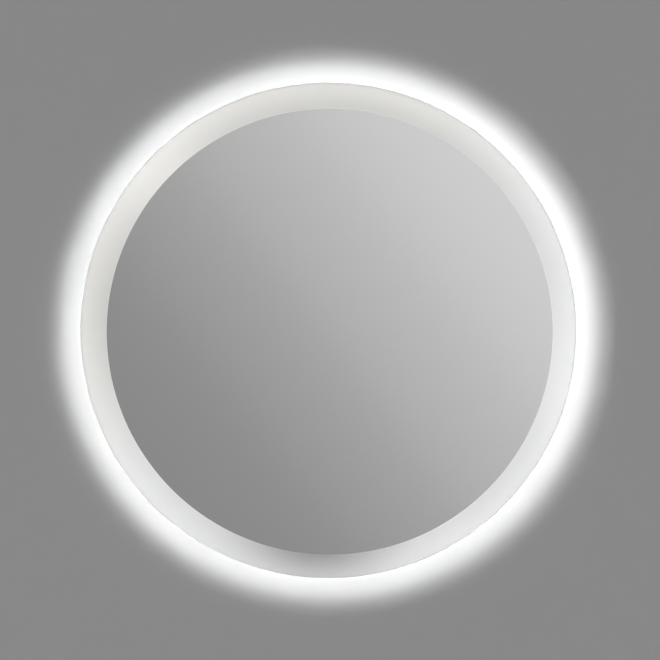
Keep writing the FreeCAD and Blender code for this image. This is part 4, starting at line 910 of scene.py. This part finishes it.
def make_sky():
    """A plain pale room: even light on matt surfaces, and a paler top for what is glossy."""
    world = bpy.data.worlds.new("pale_room")
    bpy.context.scene.world = world
    world.use_nodes = True
    world.node_tree.nodes.clear()
    nodes = Nodes(world.node_tree)
    gaze = nodes.node("TexCoord", {}).outputs["Generated"]
    up = nodes.node("SeparateXYZ", {"Vector": gaze}).outputs["Z"]
    height = nodes.node("MapRange", {"Value": up, "From Min": -1.0}).outputs["Result"]
    shiny = nodes.node("Background", {"Color": nodes.ramp(height, greys(SKY_STOPS))})
    even = nodes.node("Background", {"Strength": SKY_LIGHT})
    plain = nodes.node("Background", {"Color": (SKY_SHADE, SKY_SHADE, SKY_SHADE, 1.0)})
    ray = nodes.node("LightPath", {}).outputs
    mirrored = nodes.math("MAXIMUM", ray["Is Glossy Ray"], ray["Is Transmission Ray"])
    indirect = nodes.blend(mirrored, even.outputs[0], shiny.outputs[0])
    seen = nodes.blend(ray["Is Camera Ray"], indirect, plain.outputs[0])
    nodes.node("OutputWorld", {"Surface": seen})


def glow_material():
    """The light that leaves the diffuser for the wall."""
    material, nodes = empty_material("wall_glow")
    place = nodes.node("TexCoord", {}).outputs["Object"]
    parts = nodes.node("SeparateXYZ", {"Vector": place}).outputs
    angle = nodes.math("ARCTAN2", parts["Z"], parts["X"])
    turn = nodes.math("COSINE", nodes.math("SUBTRACT", angle, math.radians(GLOW_GAIN_ANGLE)))
    twice = nodes.math("MULTIPLY_ADD", angle, 2.0, -2.0 * math.radians(GLOW_FOLD_ANGLE))
    fold = nodes.math("MULTIPLY", nodes.math("COSINE", twice), GLOW_FOLD)
    lobes = nodes.math("MULTIPLY_ADD", turn, GLOW_GAIN, fold)
    depth = nodes.math("MULTIPLY", parts["Y"], -1 / MM)
    offset = nodes.math("DIVIDE", nodes.math("SUBTRACT", depth, GLOW_EDGE_DEPTH), GLOW_EDGE_REACH)
    near = nodes.math("POWER", math.exp(-1), nodes.math("MULTIPLY", offset, offset))
    strength = nodes.math("MULTIPLY_ADD", lobes, near, GLOW_STRENGTH)
    glow = nodes.node("Emission", {"Strength": strength})
    nodes.node("OutputMaterial", {"Surface": glow.outputs["Emission"]})
    material.cycles.emission_sampling = "FRONT"
    return material


def make_glow(wall):
    """A band of light on the diffuser's face, which shines on the wall alone and isn't seen."""
    low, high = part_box("led_diffuser")
    radius = high.x + GLOW_CLEARANCE
    mesh = bpy.data.meshes.new("wall_glow")
    corners = [
        (radius * right, y, radius * rise) for y in (high.y, low.y) for right, rise in DIRECTIONS]
    faces = [(i, (i + 1) % TURNS, TURNS + (i + 1) % TURNS, TURNS + i) for i in range(TURNS)]
    mesh.from_pydata(corners, [], faces)
    mesh.materials.append(glow_material())
    glow = bpy.data.objects.new("wall_glow", mesh)
    bpy.context.scene.collection.objects.link(glow)
    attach(glow, "mirror")
    hide(glow, "camera", "glossy", "transmission", "shadow")
    lit = bpy.data.collections.new("lit_by_glow")
    lit.objects.link(wall)
    glow.light_linking.receiver_collection = lit


def make_lamp(name, power, aim):
    """A broad soft lamp far away, shining along a direction."""
    data = bpy.data.lights.new(name, "SUN")
    data.energy = power
    data.angle = math.radians(LAMP_SPREAD)
    lamp = bpy.data.objects.new(name, data)
    bpy.context.scene.collection.objects.link(lamp)
    lamp.rotation_mode = "QUATERNION"
    lamp.rotation_quaternion = Vector(aim).to_track_quat("-Z", "Y")
    hide(lamp, "glossy")


def make_lights():
    """One lamp for the front, and one for the back."""
    make_lamp("front_lamp", FRONT_LIGHT, FRONT_AIM)
    make_lamp("back_lamp", BACK_LIGHT, BACK_AIM)


def make_camera():
    """A camera straight in front, placed so that the disc lands where the photograph has it."""
    width = PICTURE_WIDTH * METRES_PER_PIXEL
    data = bpy.data.cameras.new("camera")
    data.sensor_width = SENSOR_WIDTH
    data.lens = SENSOR_WIDTH * CAMERA_DISTANCE / width
    data.clip_end = VIEW_LIMIT
    camera = bpy.data.objects.new("camera", data)
    bpy.context.scene.collection.objects.link(camera)
    middle = PICTURE_WIDTH / 2
    camera.location = (
        (middle - DISC_CENTRE[0]) * METRES_PER_PIXEL,
        -GLASS_FRONT - CAMERA_DISTANCE,
        (DISC_CENTRE[1] - middle) * METRES_PER_PIXEL,
    )
    camera.rotation_euler = (math.radians(90), 0.0, 0.0)
    bpy.context.scene.camera = camera


make_glow(make_room())
make_card()
make_sky()
make_lights()
make_camera()
bpy.context.scene.view_settings.view_transform = "Standard"
